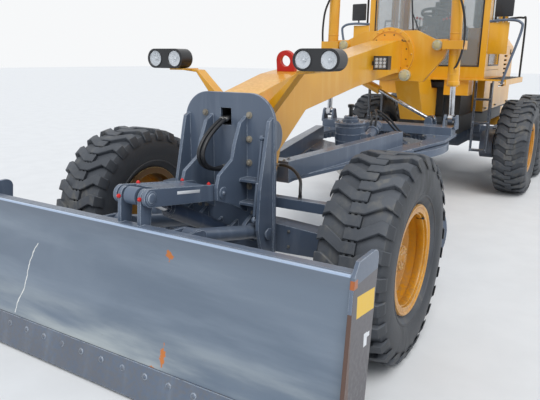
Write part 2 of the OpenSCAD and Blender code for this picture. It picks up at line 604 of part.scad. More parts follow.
// Gearbox, worm and motor that turn the circle
pinion_y = circle_y - circle_r + circle_w + 85;
pinion_r = 66;
drum_h = 220;
module circle_drive() {
  translate([0, pinion_y, -plate_t - circle_t + 5]) cylinder(h = circle_t + plate_t, r = pinion_r, $fn = 48);
  translate([0, pinion_y, -5]) cylinder(h = drum_h + 5, r = 150, $fn = 64);
  translate([0, pinion_y, drum_h]) cylinder(h = 45, r = 80, $fn = 64);
  translate([170, pinion_y + 40, 75]) rotate([-70, 0, 0]) cylinder(h = 260, r = 50, $fn = 48);
  box([90, 200], [pinion_y - 60, pinion_y + 60], [10, 130]);
}
// Ears and pin that hold the eye of the centre shift cylinder
module shift_bracket() {
  for (d = [-1, 1]) translate([shift_ear.x, 0, 0]) along_y(shift_ear.y + d * (shift_gap + cheek_t) / 2, cheek_t) hull() {
    translate([0, shift_ear.z]) circle(r = 40, $fn = 32);
    translate([-60, -20]) square([120, 20]);
  }
  rod_y(shift_ear.x, shift_ear.y, shift_ear.z, shift_gap + 2 * cheek_t, lift_ball_r);
}
// Shoes that hold the circle up from below at its outer edge
shoe_t = 20;
shoe_in = 60;
module circle_shoes() for (a = [45, 135, 225, 315]) translate([0, circle_y, 0]) rotate([0, 0, a]) {
  box([circle_r - shoe_in, circle_r + 40], [-60, 60], [ring_z - shoe_t - touch, ring_z - touch]);
  box([circle_r + 8, circle_r + 40], [-60, 60], [ring_z - shoe_t - touch, -plate_t + 8]);
  box([circle_r - 90, circle_r + 40], [-60, 60], [-plate_t + 4, -4]);
}

// Circle: ring with the two arms that carry the moldboard, drawn with the moldboard along X
ring_z = -plate_t - circle_t - run_gap;
tooth_count = 64;   // of the gear inside the circle
tooth_h = 13;
mold_top = ring_z - shoe_t - 22;
mold_mid = mold_top - mold_h / 2;
mold_half = asin(mold_h / 2 / mold_r);
lip_y = mold_r * (1 - cos(mold_half));   // depth of the hollow of the face
mold_y = lip_y / 2 - mold_t / 2;         // deepest line of the face
arm_x = 560;
arm_t = 50;
arm_end = 440;                           // rear end of the arms, inside the circle's shoes
rail_y = mold_y + mold_t + 45;           // front of the slide rails
rail_d = 36;
rail_hh = 26;
rail_zs = [mold_mid + 175, mold_mid - 175];
slide_gap = 1;
arm_y = rail_y + rail_d + slide_gap;
side_rod_r = 20;
side_end = arm_x + 40;                   // where the rod leaves the side shift cylinder
end_lip = 24;                            // by which an end plate stands out in front of the face
module on_circle() on_drawbar() translate([0, circle_y, 0]) rotate([0, 0, blade_yaw]) children();
module blade_circle() color(slate) on_circle() difference() {
  union() {
    translate([0, 0, ring_z]) difference() {
      cylinder(h = circle_t, r = circle_r, $fn = 96);
      translate([0, 0, -1]) linear_extrude(circle_t + 2) polygon([for (i = [0:tooth_count - 1], k = [0:3])
        let (a = (i + [0, 0.4, 0.5, 0.9][k]) * 360 / tooth_count, r = circle_r - circle_w - (k < 2 ? 0 : tooth_h))
        r * [cos(a), sin(a)]]);
    }
    both_sides() difference() {
      along_x(arm_x, arm_t) polygon([[rail_y + 6, rail_zs[0] + 70], [arm_y + 60, ring_z + 5], [arm_end, ring_z + 5],
        [arm_end, ring_z - 60], [arm_y + 90, rail_zs[0] - 40], [arm_y + 90, rail_zs[1] - 60], [rail_y + 6, rail_zs[1] - 60]]);
      for (z = rail_zs) box([arm_x - arm_t, arm_x + arm_t], [rail_y - 2, arm_y],
        [z - rail_hh - slide_gap, z + rail_hh + slide_gap]);
      box([arm_x - arm_t, arm_x + arm_t], [rail_y - 5, arm_y - 5], [rail_zs[1] + rail_hh + 22, rail_zs[0] - rail_hh - 22]);
    }
    box([-arm_x, arm_x], [arm_end - 60, arm_end], [ring_z - 50, ring_z + 5]);
    // side shift cylinder, held between the arms
    rod_x((side_end - arm_x) / 2, arm_y + 45, mold_mid, side_end + arm_x, 40);
  }
  rod_x((side_end - arm_x) / 2 + 40, arm_y + 45, mold_mid, side_end + arm_x, side_rod_r + pin_gap);
}

// Moldboard: hollow plate with end bits, cutting edges, slide rails and the rod that shifts it
module mold_arc(r0, r1) intersection() {
  difference() {
    circle(r = r1, $fn = 128);
    circle(r = r0, $fn = 128);
  }
  polygon([[0, 0], [2 * r1 * cos(mold_half), -2 * r1 * sin(mold_half)], [2 * r1 * cos(mold_half), 2 * r1 * sin(mold_half)]]);
}
module moldboard() color(slate) on_circle() translate([mold_shift, 0, 0]) {
  along_x(0, mold_l) translate([mold_y - mold_r, mold_mid]) mold_arc(mold_r, mold_r + mold_t);
  for (z = rail_zs) {
    box([-1250, 1250], [rail_y, rail_y + rail_d], [z - rail_hh, z + rail_hh]);
    for (x = [-1200, -300, 300, 1200]) box([x - 15, x + 15], [mold_y - 40, rail_y + 5], [z - rail_hh, z + rail_hh]);
  }
  // end plates, and the bracket of the shift rod on the left end
  both_sides() along_x(mold_l / 2 - 12, 24) intersection() {
    translate([mold_y - mold_r, mold_mid]) mold_arc(mold_r - end_lip, mold_r + mold_t + 20);
    translate([-500, mold_mid - mold_h / 2]) square([1000, mold_h]);
  }
  box([1140, 1180], [mold_y + mold_t - 5, arm_y + 85], [mold_mid - 40, mold_mid + 40]);
  rod_x((1150 + 30) / 2, arm_y + 45, mold_mid, 1150 - 30, side_rod_r);
}

// Lift cylinders: barrel in its ring on the saddle, rod down to the drawbar's ball
barrel_below = 410;
barrel_above = 870;
eye_r = 42;
eye_slack = 14;   // round the ball in a rod's eye
eye_slot = 30;    // half width of the slot that opens it
shift_way = 143;  // turn of the centre shift rod's open side
module lift_barrel() at_axle() difference() {
  union() {
    aim(lift_top, lift_eye) {
      translate([0, 0, -barrel_above]) cylinder(h = barrel_above + barrel_below, r = lift_r, $fn = 64);
      translate([0, 0, -38]) cylinder(h = 76, r = lift_r + 10, $fn = 64);
    }
    pin_along(lift_top, lift_axis, 2 * ring_hw - 12, trunnion_r);
  }
  aim(lift_top, lift_eye) translate([0, 0, -barrel_above + 30])
    cylinder(h = barrel_above + barrel_below, r = lift_rod_r + pin_gap, $fn = 48);
}
module lift_rod() at_axle() {
  l = norm(lift_eye - lift_top);
  aim(lift_top, lift_eye) translate([0, 0, -barrel_above + 60])
    cylinder(h = l + barrel_above - 60 - eye_r, r = lift_rod_r, $fn = 48);
  difference() {
    pin_along(lift_eye, [1, 0, 0], 50, eye_r + 8);
    pin_along(lift_eye, [1, 0, 0], 60, lift_ball_r + eye_slack);
    // the eye is open towards the rear, where it floats off its pin
    translate(lift_eye) box([-30, 30], [0, eye_r + 10], [-eye_slot, eye_slot]);
  }
}
module lift_barrel_left() color(yellow) lift_barrel();
module lift_barrel_right() color(yellow) mirror([1, 0, 0]) lift_barrel();
module lift_rod_left() color(bright) lift_rod();
module lift_rod_right() color(bright) mirror([1, 0, 0]) lift_rod();

// Centre shift cylinder, behind the saddle
module shift_barrel() color(yellow) at_axle() difference() {
  union() {
    aim(shift_top, shift_eye) translate([0, 0, -330]) cylinder(h = 800, r = shift_r, $fn = 64);
    pin_along(shift_top, shift_axis, 2 * (shift_lug_y + lug_t) - 6, trunnion_r);
  }
  aim(shift_top, shift_eye) translate([0, 0, -300]) cylinder(h = 800, r = shift_rod_r + pin_gap, $fn = 48);
}
module shift_rod() color(bright) at_axle() {
  l = norm(shift_eye - shift_top);
  aim(shift_top, shift_eye) translate([0, 0, -280]) cylinder(h = l + 280 - eye_r, r = shift_rod_r, $fn = 48);
  difference() {
    pin_along(shift_eye, [0, 1, 0], 44, eye_r + 6);
    pin_along(shift_eye, [0, 1, 0], 60, lift_ball_r + eye_slack);
    // the eye is open down and inwards, where it floats off its pin
    translate(shift_eye) rotate([0, shift_way, 0])
      box([0, eye_r + 10], [-30, 30], [-eye_slot, eye_slot]);
  }
}

// Dozer: push arms, upper link, lift cylinder and blade
face_r = (pow(dozer_h, 2) + pow(dozer_lean, 2)) / 8 / dozer_sag + dozer_sag / 2;
module dozer_arms() color(slate) at_axle() {
  both_sides() difference() {
    union() {
      strut([arm_gap / 2, arm_pin[0], arm_pin[1]], [arm_gap / 2, arm_tip[0], arm_tip[1]], arm_r);
      rod_x(arm_gap / 2, arm_pin[0], arm_pin[1], 106, 52);
      rod_x(arm_gap / 2, arm_tip[0], arm_tip[1], 90, 48);
    }
    rod_x(arm_gap / 2, arm_pin[0], arm_pin[1], 300, link_pin_r + pin_gap);
    rod_x(arm_gap / 2, arm_tip[0], arm_tip[1], 300, link_pin_r + pin_gap);
  }
}
cheek_x = link_w / 2 - 12;
module dozer_link() color(slate) at_axle() difference() {
  union() {
    for (x = [-cheek_x, cheek_x]) along_x(x, 24) hull() {
      translate(link_pin) circle(r = 52, $fn = 32);
      translate(link_tip) circle(r = 52, $fn = 32);
    }
    along_x(0, link_w - 40) polygon([[link_pin[0] - 70, link_pin[1] + 24], [link_pin[0] - 70, link_pin[1] + 56],
      [link_tip[0] + 110, link_tip[1] + 30], [link_tip[0] + 110, link_tip[1] - 2]]);
    rod_x(0, link_tip[0], link_tip[1], link_w, link_pin_r);
  }
  rod_x(0, link_pin[0], link_pin[1], 400, link_pin_r + pin_gap);
}
jack_a = [0, jack_pin[0], jack_pin[1]];
jack_b = [0, link_tip[0], link_tip[1]];
jack_l = norm(jack_b - jack_a);
module dozer_barrel() color(dark) at_axle() difference() {
  union() {
    aim(jack_a, jack_b) translate([0, 0, 30]) cylinder(h = jack_l - 330, r = 52, $fn = 64);
    rod_x(0, jack_pin[0], jack_pin[1], 100, 44);
  }
  rod_x(0, jack_pin[0], jack_pin[1], 200, jack_pin_r + pin_gap);
  aim(jack_a, jack_b) translate([0, 0, 100]) cylinder(h = jack_l, r = 24 + pin_gap, $fn = 48);
}
module dozer_rod() color(bright) at_axle() difference() {
  union() {
    aim(jack_a, jack_b) translate([0, 0, 130]) cylinder(h = jack_l - 160, r = 24, $fn = 48);
    rod_x(0, link_tip[0], link_tip[1], 84, 50);
  }
  rod_x(0, link_tip[0], link_tip[1], 200, link_pin_r + 8);
}
// Blade face: an arc from the lower to the upper lip; the line of both lips leans back
function arc_points(c, r, a0, a1, n) = [for (i = [0:n]) let (a = a0 + (a1 - a0) * i / n) c + r * [cos(a), sin(a)]];
blade_lean = atan2(dozer_lean, dozer_h);
face_half = asin(norm([dozer_h, dozer_lean]) / 2 / face_r);
face_c = [-dozer_reach + dozer_lean / 2, dozer_gap + dozer_h / 2]
  + (dozer_sag - face_r) * [cos(blade_lean), -sin(blade_lean)];
module face_arc() polygon(concat(
  arc_points(face_c, face_r, -face_half - blade_lean, face_half - blade_lean, 20),
  arc_points(face_c, face_r + dozer_t, face_half - blade_lean, -face_half - blade_lean, 20)));
lip_front = -dozer_reach;
lip_back = lip_front + dozer_lean;      // front of the blade's upper lip
blade_top = dozer_gap + dozer_h;
module blade_rib() polygon(concat(
  arc_points(face_c, face_r + dozer_t / 2, -0.7 * face_half - blade_lean, 0.9 * face_half - blade_lean, 16),
  [[lip_back + 90, blade_top - 20], [lip_front + 240, dozer_gap + 600], [lip_front + 200, dozer_gap + 180]]));
// An ear with a round end at p, widening to a foot between a and b
module ear(p, r, a, b) hull() {
  translate(p) circle(r = r, $fn = 32);
  translate(a) square(b - a);
}
module end_plate() {
  polygon([[lip_front + 4, dozer_gap + 2], [lip_front + 4 + end_plate_l, dozer_gap + 2],
    [lip_back + end_plate_l, blade_top], [lip_back + end_plate_l - 50, blade_top + 50], [lip_back + 40, blade_top + 50],
    [lip_back - 10, blade_top - 10]]);
  translate([lip_back + end_plate_l - 50, blade_top]) circle(r = 50, $fn = 32);
}
module dozer_blade() color(slate) at_axle() difference() {
  union() {
    along_x(0, dozer_w - 30) face_arc();
    // cutting edge
    along_x(0, dozer_w - 50) polygon([[lip_front, dozer_gap], [lip_front + 20, dozer_gap],
      [lip_front + 75, dozer_gap + edge_h], [lip_front + 52, dozer_gap + edge_h]]);
    both_sides() along_x(dozer_w / 2 - 10, 20) end_plate();
    // stiffeners behind the face
    box([-dozer_w / 2 + 20, dozer_w / 2 - 20], [lip_back + dozer_t + 1, lip_back + 90], [blade_top - 90, blade_top - 10]);
    box([-dozer_w / 2 + 20, dozer_w / 2 - 20], [lip_front + 100, lip_front + 200], [dozer_gap + 180, dozer_gap + 280]);
    both_sides() for (x = [120, 270, 700, 1100]) along_x(x, 20) blade_rib();
    // ears of the upper link and of the push arms, with their pins
    both_sides() {
      along_x(75, 24) ear(link_tip, 48, [lip_back + 30, blade_top - 300], [lip_back + 80, blade_top - 240]);
      for (x = [arm_gap / 2 - 60, arm_gap / 2 + 60])
        along_x(x, 20) ear(arm_tip, 46, [lip_front + 170, arm_tip[1] - 100], [lip_front + 190, arm_tip[1] + 60]);
      rod_x(arm_gap / 2, arm_tip[0], arm_tip[1], 130, link_pin_r);
    }
  }
  rod_x(0, link_tip[0], link_tip[1], 400, link_pin_r + 8);
}

// Rear frame: hinge fork, rails, cross members and what carries the cab
fork_plate = 70;
frame_front = hitch_y + tongue_r + 30;
rail_x = rails_w / 2;
rail_t = 110;
deck_z = floor_z - 45;
deck_t = 20;
under_deck = deck_z - deck_t - touch;
deck_x = 1050;
hood_y = [cab_front + cab_l + 60, tail_reach - 210];
tail_y = tail_reach - 200;
module rear_frame() color(yellow) at_axle() {
  for (z = [tongue_z - run_gap - fork_plate, tongue_z + tongue_h + run_gap])
    translate([0, 0, z]) linear_extrude(fork_plate) hull() {
      translate([0, hitch_y]) circle(r = 120, $fn = 64);
      translate([-210, frame_front]) square([420, 60]);
    }
  translate([0, hitch_y, tongue_z - run_gap - fork_plate])
    cylinder(h = tongue_h + 2 * (run_gap + fork_plate), r = hitch_pin_r, $fn = 64);
  box([-210, 210], [frame_front, frame_front + 80], [tongue_z - run_gap - fork_plate, under_deck]);
  both_sides() {
    box([rail_x - rail_t, rail_x], [frame_front + 60, tail_y - touch], [rail_z - rail_h, rail_z]);
    box([rail_x - 60, rail_x - 40], [frame_front + 60, hood_y[0] - 80], [rail_z - 5, under_deck]);
    // ledge under the side of the hood
    box([rail_x - 10, hood_w / 2], hood_y, [rail_z - 25, rail_z]);
  }
  for (y = [frame_front + 60, hood_y[0] - 140, tail_y - 60 - touch])
    box([-rail_x + 5, rail_x - 5], [y, y + 60], [rail_z - rail_h, rail_z - 5]);
  box([-rail_x + 5, rail_x - 5], [frame_front + 60, frame_front + 90], [rail_z - 10, under_deck]);
}

// Deck under the cab and beside it, with a turned down edge
module platforms() color(yellow) at_axle() {
  box([-deck_x, deck_x], [cab_front - 30, cab_front + cab_l + 40], [deck_z - deck_t, deck_z]);
  both_sides() {
    box([deck_x - 12, deck_x], [cab_front - 30, cab_front + cab_l + 40], [deck_z - 70, deck_z - 5]);
    // boxes under the front of the deck
    box([290, 600], [cab_front + 10, cab_front + 290], [deck_z - 215, deck_z - 5]);
  }
}

// Tail weight with the towing pocket and the seats of the rear lamps
weight_low = 700;
weight_top = 1250;
tow_pin_r = 22;
module tail_weight() color(yellow) at_axle() difference() {
  box([-rail_x, rail_x], [tail_y, tail_reach], [weight_low, weight_top]);
  box([-110, 110], [tail_reach - 120, tail_reach + 10], [900, 1010]);
  both_sides() box([rail_x - 170 - touch, rail_x - 20 + touch], [tail_reach - 45 - touch, tail_reach + 10],
    [lamp_low - touch, lamp_low + 80 + touch]);
  translate([0, tail_reach - 60, weight_low - 100]) cylinder(h = weight_top, r = tow_pin_r, $fn = 48);
}
lamp_low = 1120;   // underside of the rear lamps
module rear_lamps() color("darkred") at_axle() both_sides()
  box([rail_x - 170, rail_x - 20], [tail_reach - 45, tail_reach - 3], [lamp_low, lamp_low + 80]);

// Tandem cases with the spindles of their wheels
case_x = 700;
case_in = case_x - tandem_w / 2;
case_out = case_x + tandem_w / 2;
module tandem_cases() color(slate) at_axle() both_sides() {
  along_x(case_x, tandem_w) hull() for (y = [mid_axle, rear_axle]) translate([y, wheel_z])
    circle(r = tandem_h / 2, $fn = 48);
  for (y = [mid_axle, rear_axle]) {
    rod_x((case_x + tyre_x + 70) / 2, y, wheel_z, tyre_x - case_x + 70, spindle_r);
    rod_x(case_out + 15, y, wheel_z, 32, 120);
  }
}

// Rear axle: round housing in the middle, tubes to the tandem cases, and blocks that bolt it to the rails
banjo_r = 230;
banjo_w = 200;
banjo_cone = 150;
tube_r = 130;
module rear_axle_housing() color(slate) at_axle() {
  z = wheel_z + 60;
  rod_x(0, wheelbase, z, banjo_w, banjo_r);
  both_sides() {
    translate([banjo_w / 2, wheelbase, z]) rotate([0, 90, 0])
      cylinder(h = banjo_cone, r1 = banjo_r, r2 = tube_r, $fn = 64);
    rod_x((banjo_w / 2 + case_in - touch) / 2, wheelbase, z, case_in - touch - banjo_w / 2, tube_r);
    box([rail_x - 120, rail_x + 10], [wheelbase - 160, wheelbase + 160], [z + 40, rail_z - rail_h - touch]);
  }
}

engine_x = 300;
engine_y = [hood_y[0] + 530, hood_y[1] - 600];
engine_top = hood_z - 380;
module engine() color(dark) at_axle() {
  box([-engine_x, engine_x], engine_y, [rail_z - 150, engine_top]);
  // mounts on the rails
  both_sides() for (y = [engine_y[0] + 100, engine_y[1] - 200])
    box([engine_x - 1, rail_x - rail_t - touch], [y, y + 100], [rail_z - 150, rail_z - 60]);
}

// Engine hood: open below, with an opening for the rear grille and one on each side for a door with louvres
hood_hw = hood_w / 2;
grille_x = hood_hw - 90;
grille_z = [rail_z + 80, hood_z - 200];
side_y = [hood_y[0] + 60, hood_y[1] - 60];
side_z = [rail_z + 40, hood_z - 175];
louvre_y = [hood_y[0] + 1100, hood_y[0] + 1700];
module hood_outline(d) polygon([[-hood_hw + d, rail_z], [-hood_hw + d, hood_z - 160], [-hood_hw + 120 + d / 2, hood_z - d],
  [hood_hw - 120 - d / 2, hood_z - d], [hood_hw - d, hood_z - 160], [hood_hw - d, rail_z]]);
module hood() color(yellow) at_axle() difference() {
  along_y((hood_y[0] + hood_y[1]) / 2, hood_y[1] - hood_y[0]) hood_outline(0);
  along_y((hood_y[0] + hood_y[1]) / 2, hood_y[1] - hood_y[0] - 2 * hood_t) translate([0, -1]) hood_outline(hood_t);
  box([-grille_x, grille_x], [hood_y[1] - 60, hood_y[1] + 10], grille_z);
  both_sides() box([hood_hw - 60, hood_hw + 10], side_y, side_z);
  translate([pipe.x, pipe.y, hood_z - 200]) cylinder(h = 400, r = pipe_r + 6, $fn = 48);
}
module hood_doors() color(yellow) at_axle() both_sides() difference() {
  box([hood_hw - hood_t, hood_hw], [side_y[0] + touch, side_y[1] - touch], [side_z[0] + touch, side_z[1] - touch]);
  for (i = [0:7]) box([hood_hw - 60, hood_hw + 10], louvre_y, [side_z[0] + 280 + 70 * i, side_z[0] + 310 + 70 * i]);
}

grille_d = 30;
module rear_grille() color(dark) at_axle() {
  x = grille_x - touch;
  y0 = hood_y[1] - hood_t;
  z0 = grille_z[0] + touch;
  z1 = grille_z[1] - touch;
  for (s = [-1, 1]) box([min(s * x, s * (x - 40)), max(s * x, s * (x - 40))], [y0, y0 + grille_d], [z0, z1]);
  for (z = [z0, z1 - 40]) box([-x, x], [y0, y0 + grille_d], [z, z + 40]);
  for (i = [1:12]) let (z = z0 + 40 + i * (z1 - z0 - 80) / 13) box([-x + 10, x - 10], [y0 + 5, y0 + 25], [z - 8, z + 8]);
}

pipe = [230, engine_y[0] + 80];
pipe_r = 60;
module exhaust() color(dark) at_axle() translate([pipe.x, pipe.y, 0]) {
  translate([0, 0, engine_top + touch]) cylinder(h = 700, r = pipe_r, $fn = 48);
  translate([0, 0, engine_top + 500]) cylinder(h = 480, r = pipe_r + 15, $fn = 48);
}

// Access ladders that hang under the deck, clear of the moldboard's sweep
ladder_x = [635, 845];
ladder_y = [cab_front + 255, cab_front + 335];
ladder_low = 690;
module ladders() color(slate) at_axle() both_sides() {
  for (x = ladder_x) box([x - 6, x + 6], ladder_y, [ladder_low, under_deck]);
  for (z = [ladder_low + 4, 1060, 1370]) box(ladder_x, [ladder_y[0] + 4, ladder_y[1] - 4], [z, z + 25]);
}

// Cab: floor, walls and posts in one welded shell
cab_back = cab_front + cab_l;
cab_hw = cab_w / 2;
door_y = [cab_front + 120, cab_front + 920];
sill_z = floor_z + 60;
head_z = roof_z - 110;
module cab_block(d) box([-cab_hw + d, cab_hw - d], [cab_front + d, cab_back - d], [floor_z - 45 + (d > 0 ? 45 : 0), roof_z - 60 + d]);
door_gap = 5;
hinge_r = 14;
hinge_pin_r = 8;
hinge_h = 25;
hinge_zs = [2050, 2950];
hinge_x = cab_hw + hinge_r + 1;
hinge_y = door_y[1] - door_gap + 3;
module cab_shell() color(yellow) at_axle() difference() {
  union() {
    difference() {
      cab_block(0);
      cab_block(wall_t);
    }
    // lugs and pins of the door hinges
    both_sides() for (z = hinge_zs) {
      translate([hinge_x, hinge_y, z - hinge_h]) cylinder(h = hinge_h, r = hinge_r, $fn = 48);
      translate([hinge_x, hinge_y, z - 1]) cylinder(h = hinge_h, r = hinge_pin_r, $fn = 48);
      box([cab_hw - 1, cab_hw + 20], [door_y[1] + 5, door_y[1] + 40], [z - hinge_h, z]);
    }
  }
  // doorways
  box([-2 * cab_hw, 2 * cab_hw], door_y, [sill_z, head_z]);
  // windscreen and rear window
  box([-cab_hw + 90, cab_hw - 90], [cab_front - 10, cab_front + 60], [floor_z + 120, head_z]);
  box([-cab_hw + 120, cab_hw - 120], [cab_back - 60, cab_back + 10], [hood_z + 60, head_z]);
  // side windows behind the doors
  box([-2 * cab_hw, 2 * cab_hw], [door_y[1] + 90, cab_back - 90], [2150, head_z]);
}
module cab_roof() color(yellow) at_axle() hull() {
  box([-cab_hw - 20, cab_hw + 20], [cab_front - 60, cab_back + 20], [roof_z - 60 + touch, roof_z - 20]);
  box([-cab_hw + 60, cab_hw - 60], [cab_front + 40, cab_back - 60], [roof_z - 60 + touch, roof_z + 50]);
}
module cab_glass() color([0.6, 0.75, 0.8, 0.5]) at_axle() {
  box([-cab_hw + 90 + touch, cab_hw - 90 - touch], [cab_front + 20, cab_front + 20 + glass_t], [floor_z + 120 + touch, head_z - touch]);
  box([-cab_hw + 120 + touch, cab_hw - 120 - touch], [cab_back - 30, cab_back - 30 + glass_t], [hood_z + 60 + touch, head_z - touch]);
  both_sides() box([cab_hw - 28, cab_hw - 28 + glass_t], [door_y[1] + 90 + touch, cab_back - 90 - touch], [2150 + touch, head_z - touch]);
}
module door() at_axle() difference() {
  union() {
    box([cab_hw - wall_t, cab_hw], [door_y[0] + door_gap, door_y[1] - door_gap], [sill_z + door_gap, head_z - door_gap]);
    for (z = hinge_zs) {
      translate([hinge_x, hinge_y, z + 0.5]) cylinder(h = hinge_h, r = hinge_r, $fn = 48);
      box([cab_hw - 1, cab_hw + 20], [door_y[1] - 45, door_y[1] - door_gap - 1], [z + 0.5, z + 0.5 + hinge_h]);
    }
  }
  box([cab_hw - 60, cab_hw + 10], [door_y[0] + 65, door_y[1] - 65], [sill_z + 70, head_z - 65]);
  for (z = hinge_zs) translate([hinge_x, hinge_y, z - 10]) cylinder(h = 60, r = hinge_pin_r + pin_gap, $fn = 48);
}
module door_left() color(yellow) door();
module door_right() color(yellow) mirror([1, 0, 0]) door();
module door_pane() at_axle() box([cab_hw - 28, cab_hw - 28 + glass_t], [door_y[0] + 65 + touch, door_y[1] - 65 - touch],
  [sill_z + 70 + touch, head_z - 65 - touch]);
module door_glass_left() color([0.6, 0.75, 0.8, 0.5]) door_pane();
module door_glass_right() color([0.6, 0.75, 0.8, 0.5]) mirror([1, 0, 0]) door_pane();

module seat() color(dark) at_axle() translate([0, cab_front + 820, floor_z + touch]) {
  box([-150, 150], [-150, 200], [0, 330]);
  box([-250, 250], [-250, 250], [330, 450]);
  box([-240, 240], [180, 280], [430, 1050]);
}
module console() color(dark) at_axle() translate([0, cab_front + 330, floor_z + touch]) {
  box([-60, 60], [-60, 60], [0, 640]);
  aim([0, 0, 620], [0, 60, 820]) cylinder(h = 180, r = 28, $fn = 48);
  translate([0, 48, 775]) rotate([-17, 0, 0]) difference() {
    cylinder(h = 28, r = 190, $fn = 64);
    translate([0, 0, -1]) difference() {
      cylinder(h = 30, r = 162, $fn = 64);
      cylinder(h = 30, r = 40, $fn = 48);
      box([-170, 170], [-15, 15], [0, 30]);
    }
  }
}

front_frame();
dozer_mount();
lamp_arms();
lamps();
lifting_eye();
front_axle();
saddle();
hoses();
knuckle_left();
knuckle_right();
tie_rod();
rim_front_left();
rim_front_right();
rim_mid_left();
rim_mid_right();
rim_rear_left();
rim_rear_right();
tyre_front_left();
tyre_front_right();
tyre_mid_left();
tyre_mid_right();
tyre_rear_left();
tyre_rear_right();
drawbar();
blade_circle();
moldboard();
lift_barrel_left();
lift_barrel_right();
lift_rod_left();
lift_rod_right();
shift_barrel();
shift_rod();
dozer_arms();
dozer_blade();
dozer_link();
dozer_barrel();
dozer_rod();
rear_frame();
platforms();
tail_weight();
tandem_cases();
rear_axle_housing();
engine();
hood();
hood_doors();
rear_grille();
exhaust();
rear_lamps();
ladders();
cab_shell();
cab_roof();
cab_glass();
door_left();
door_right();
door_glass_left();
door_glass_right();
seat();
console();
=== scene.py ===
import json
from math import cos, exp, pi, radians, sin

import bmesh
import bpy
from mathutils import Matrix, Vector


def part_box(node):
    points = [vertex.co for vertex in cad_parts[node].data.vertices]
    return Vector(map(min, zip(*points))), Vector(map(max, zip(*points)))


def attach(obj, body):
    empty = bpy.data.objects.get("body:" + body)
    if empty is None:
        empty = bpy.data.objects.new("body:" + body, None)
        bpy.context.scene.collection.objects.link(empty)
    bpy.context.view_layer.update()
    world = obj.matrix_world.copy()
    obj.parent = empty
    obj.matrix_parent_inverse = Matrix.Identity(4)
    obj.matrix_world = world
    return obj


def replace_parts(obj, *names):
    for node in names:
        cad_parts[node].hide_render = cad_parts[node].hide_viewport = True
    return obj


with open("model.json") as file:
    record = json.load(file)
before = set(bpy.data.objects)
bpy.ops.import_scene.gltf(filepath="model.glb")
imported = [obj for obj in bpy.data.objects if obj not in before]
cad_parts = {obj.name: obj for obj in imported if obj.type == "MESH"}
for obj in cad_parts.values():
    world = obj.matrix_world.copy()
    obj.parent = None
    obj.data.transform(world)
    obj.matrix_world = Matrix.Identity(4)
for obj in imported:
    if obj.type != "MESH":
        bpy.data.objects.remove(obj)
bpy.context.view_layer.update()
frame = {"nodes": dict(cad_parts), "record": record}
nodes = frame["nodes"]
print("frame loaded:", len(nodes), "nodes")


def middle(node):
    low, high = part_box(node)
    return (low + high) / 2


axleY = middle("rim_front_left").y  # the front axle, from which every place below is measured
wheelZ = middle("rim_front_left").z


def place(x, y, z):  # a point given from the front axle, in the frame
    return Vector((x, y + axleY, z))


class Wire:  # one socket of a shader, so that maths on it can be written as an expression
    def __init__(self, tree, socket):
        self.tree = tree
        self.socket = socket

    def calc(self, operation, first, second):
        node = self.tree.nodes.new("ShaderNodeMath")
        node.operation = operation
        feed(self.tree, first, node.inputs[0])
        feed(self.tree, second, node.inputs[1])
        return Wire(self.tree, node.outputs[0])

    def __add__(self, other):
        return self.calc("ADD", self, other)

    def __sub__(self, other):
        return self.calc("SUBTRACT", self, other)

    def __mul__(self, other):
        return self.calc("MULTIPLY", self, other)

    def __truediv__(self, other):
        return self.calc("DIVIDE", self, other)

    def __gt__(self, other):
        return self.calc("GREATER_THAN", self, other)

    def __lt__(self, other):
        return self.calc("LESS_THAN", self, other)

    def __rsub__(self, other):
        return self.calc("SUBTRACT", other, self)

    __radd__ = __add__
    __rmul__ = __mul__

    def top(self, other):
        return self.calc("MAXIMUM", self, other)

    def low(self, other):
        return self.calc("MINIMUM", self, other)

    def size(self):
        return self.calc("ABSOLUTE", self, 0.0)


def feed(tree, value, socket):  # a link from a wire, or a fixed value
    if isinstance(value, Wire):
        tree.links.new(value.socket, socket)
    else:
        socket.default_value = value


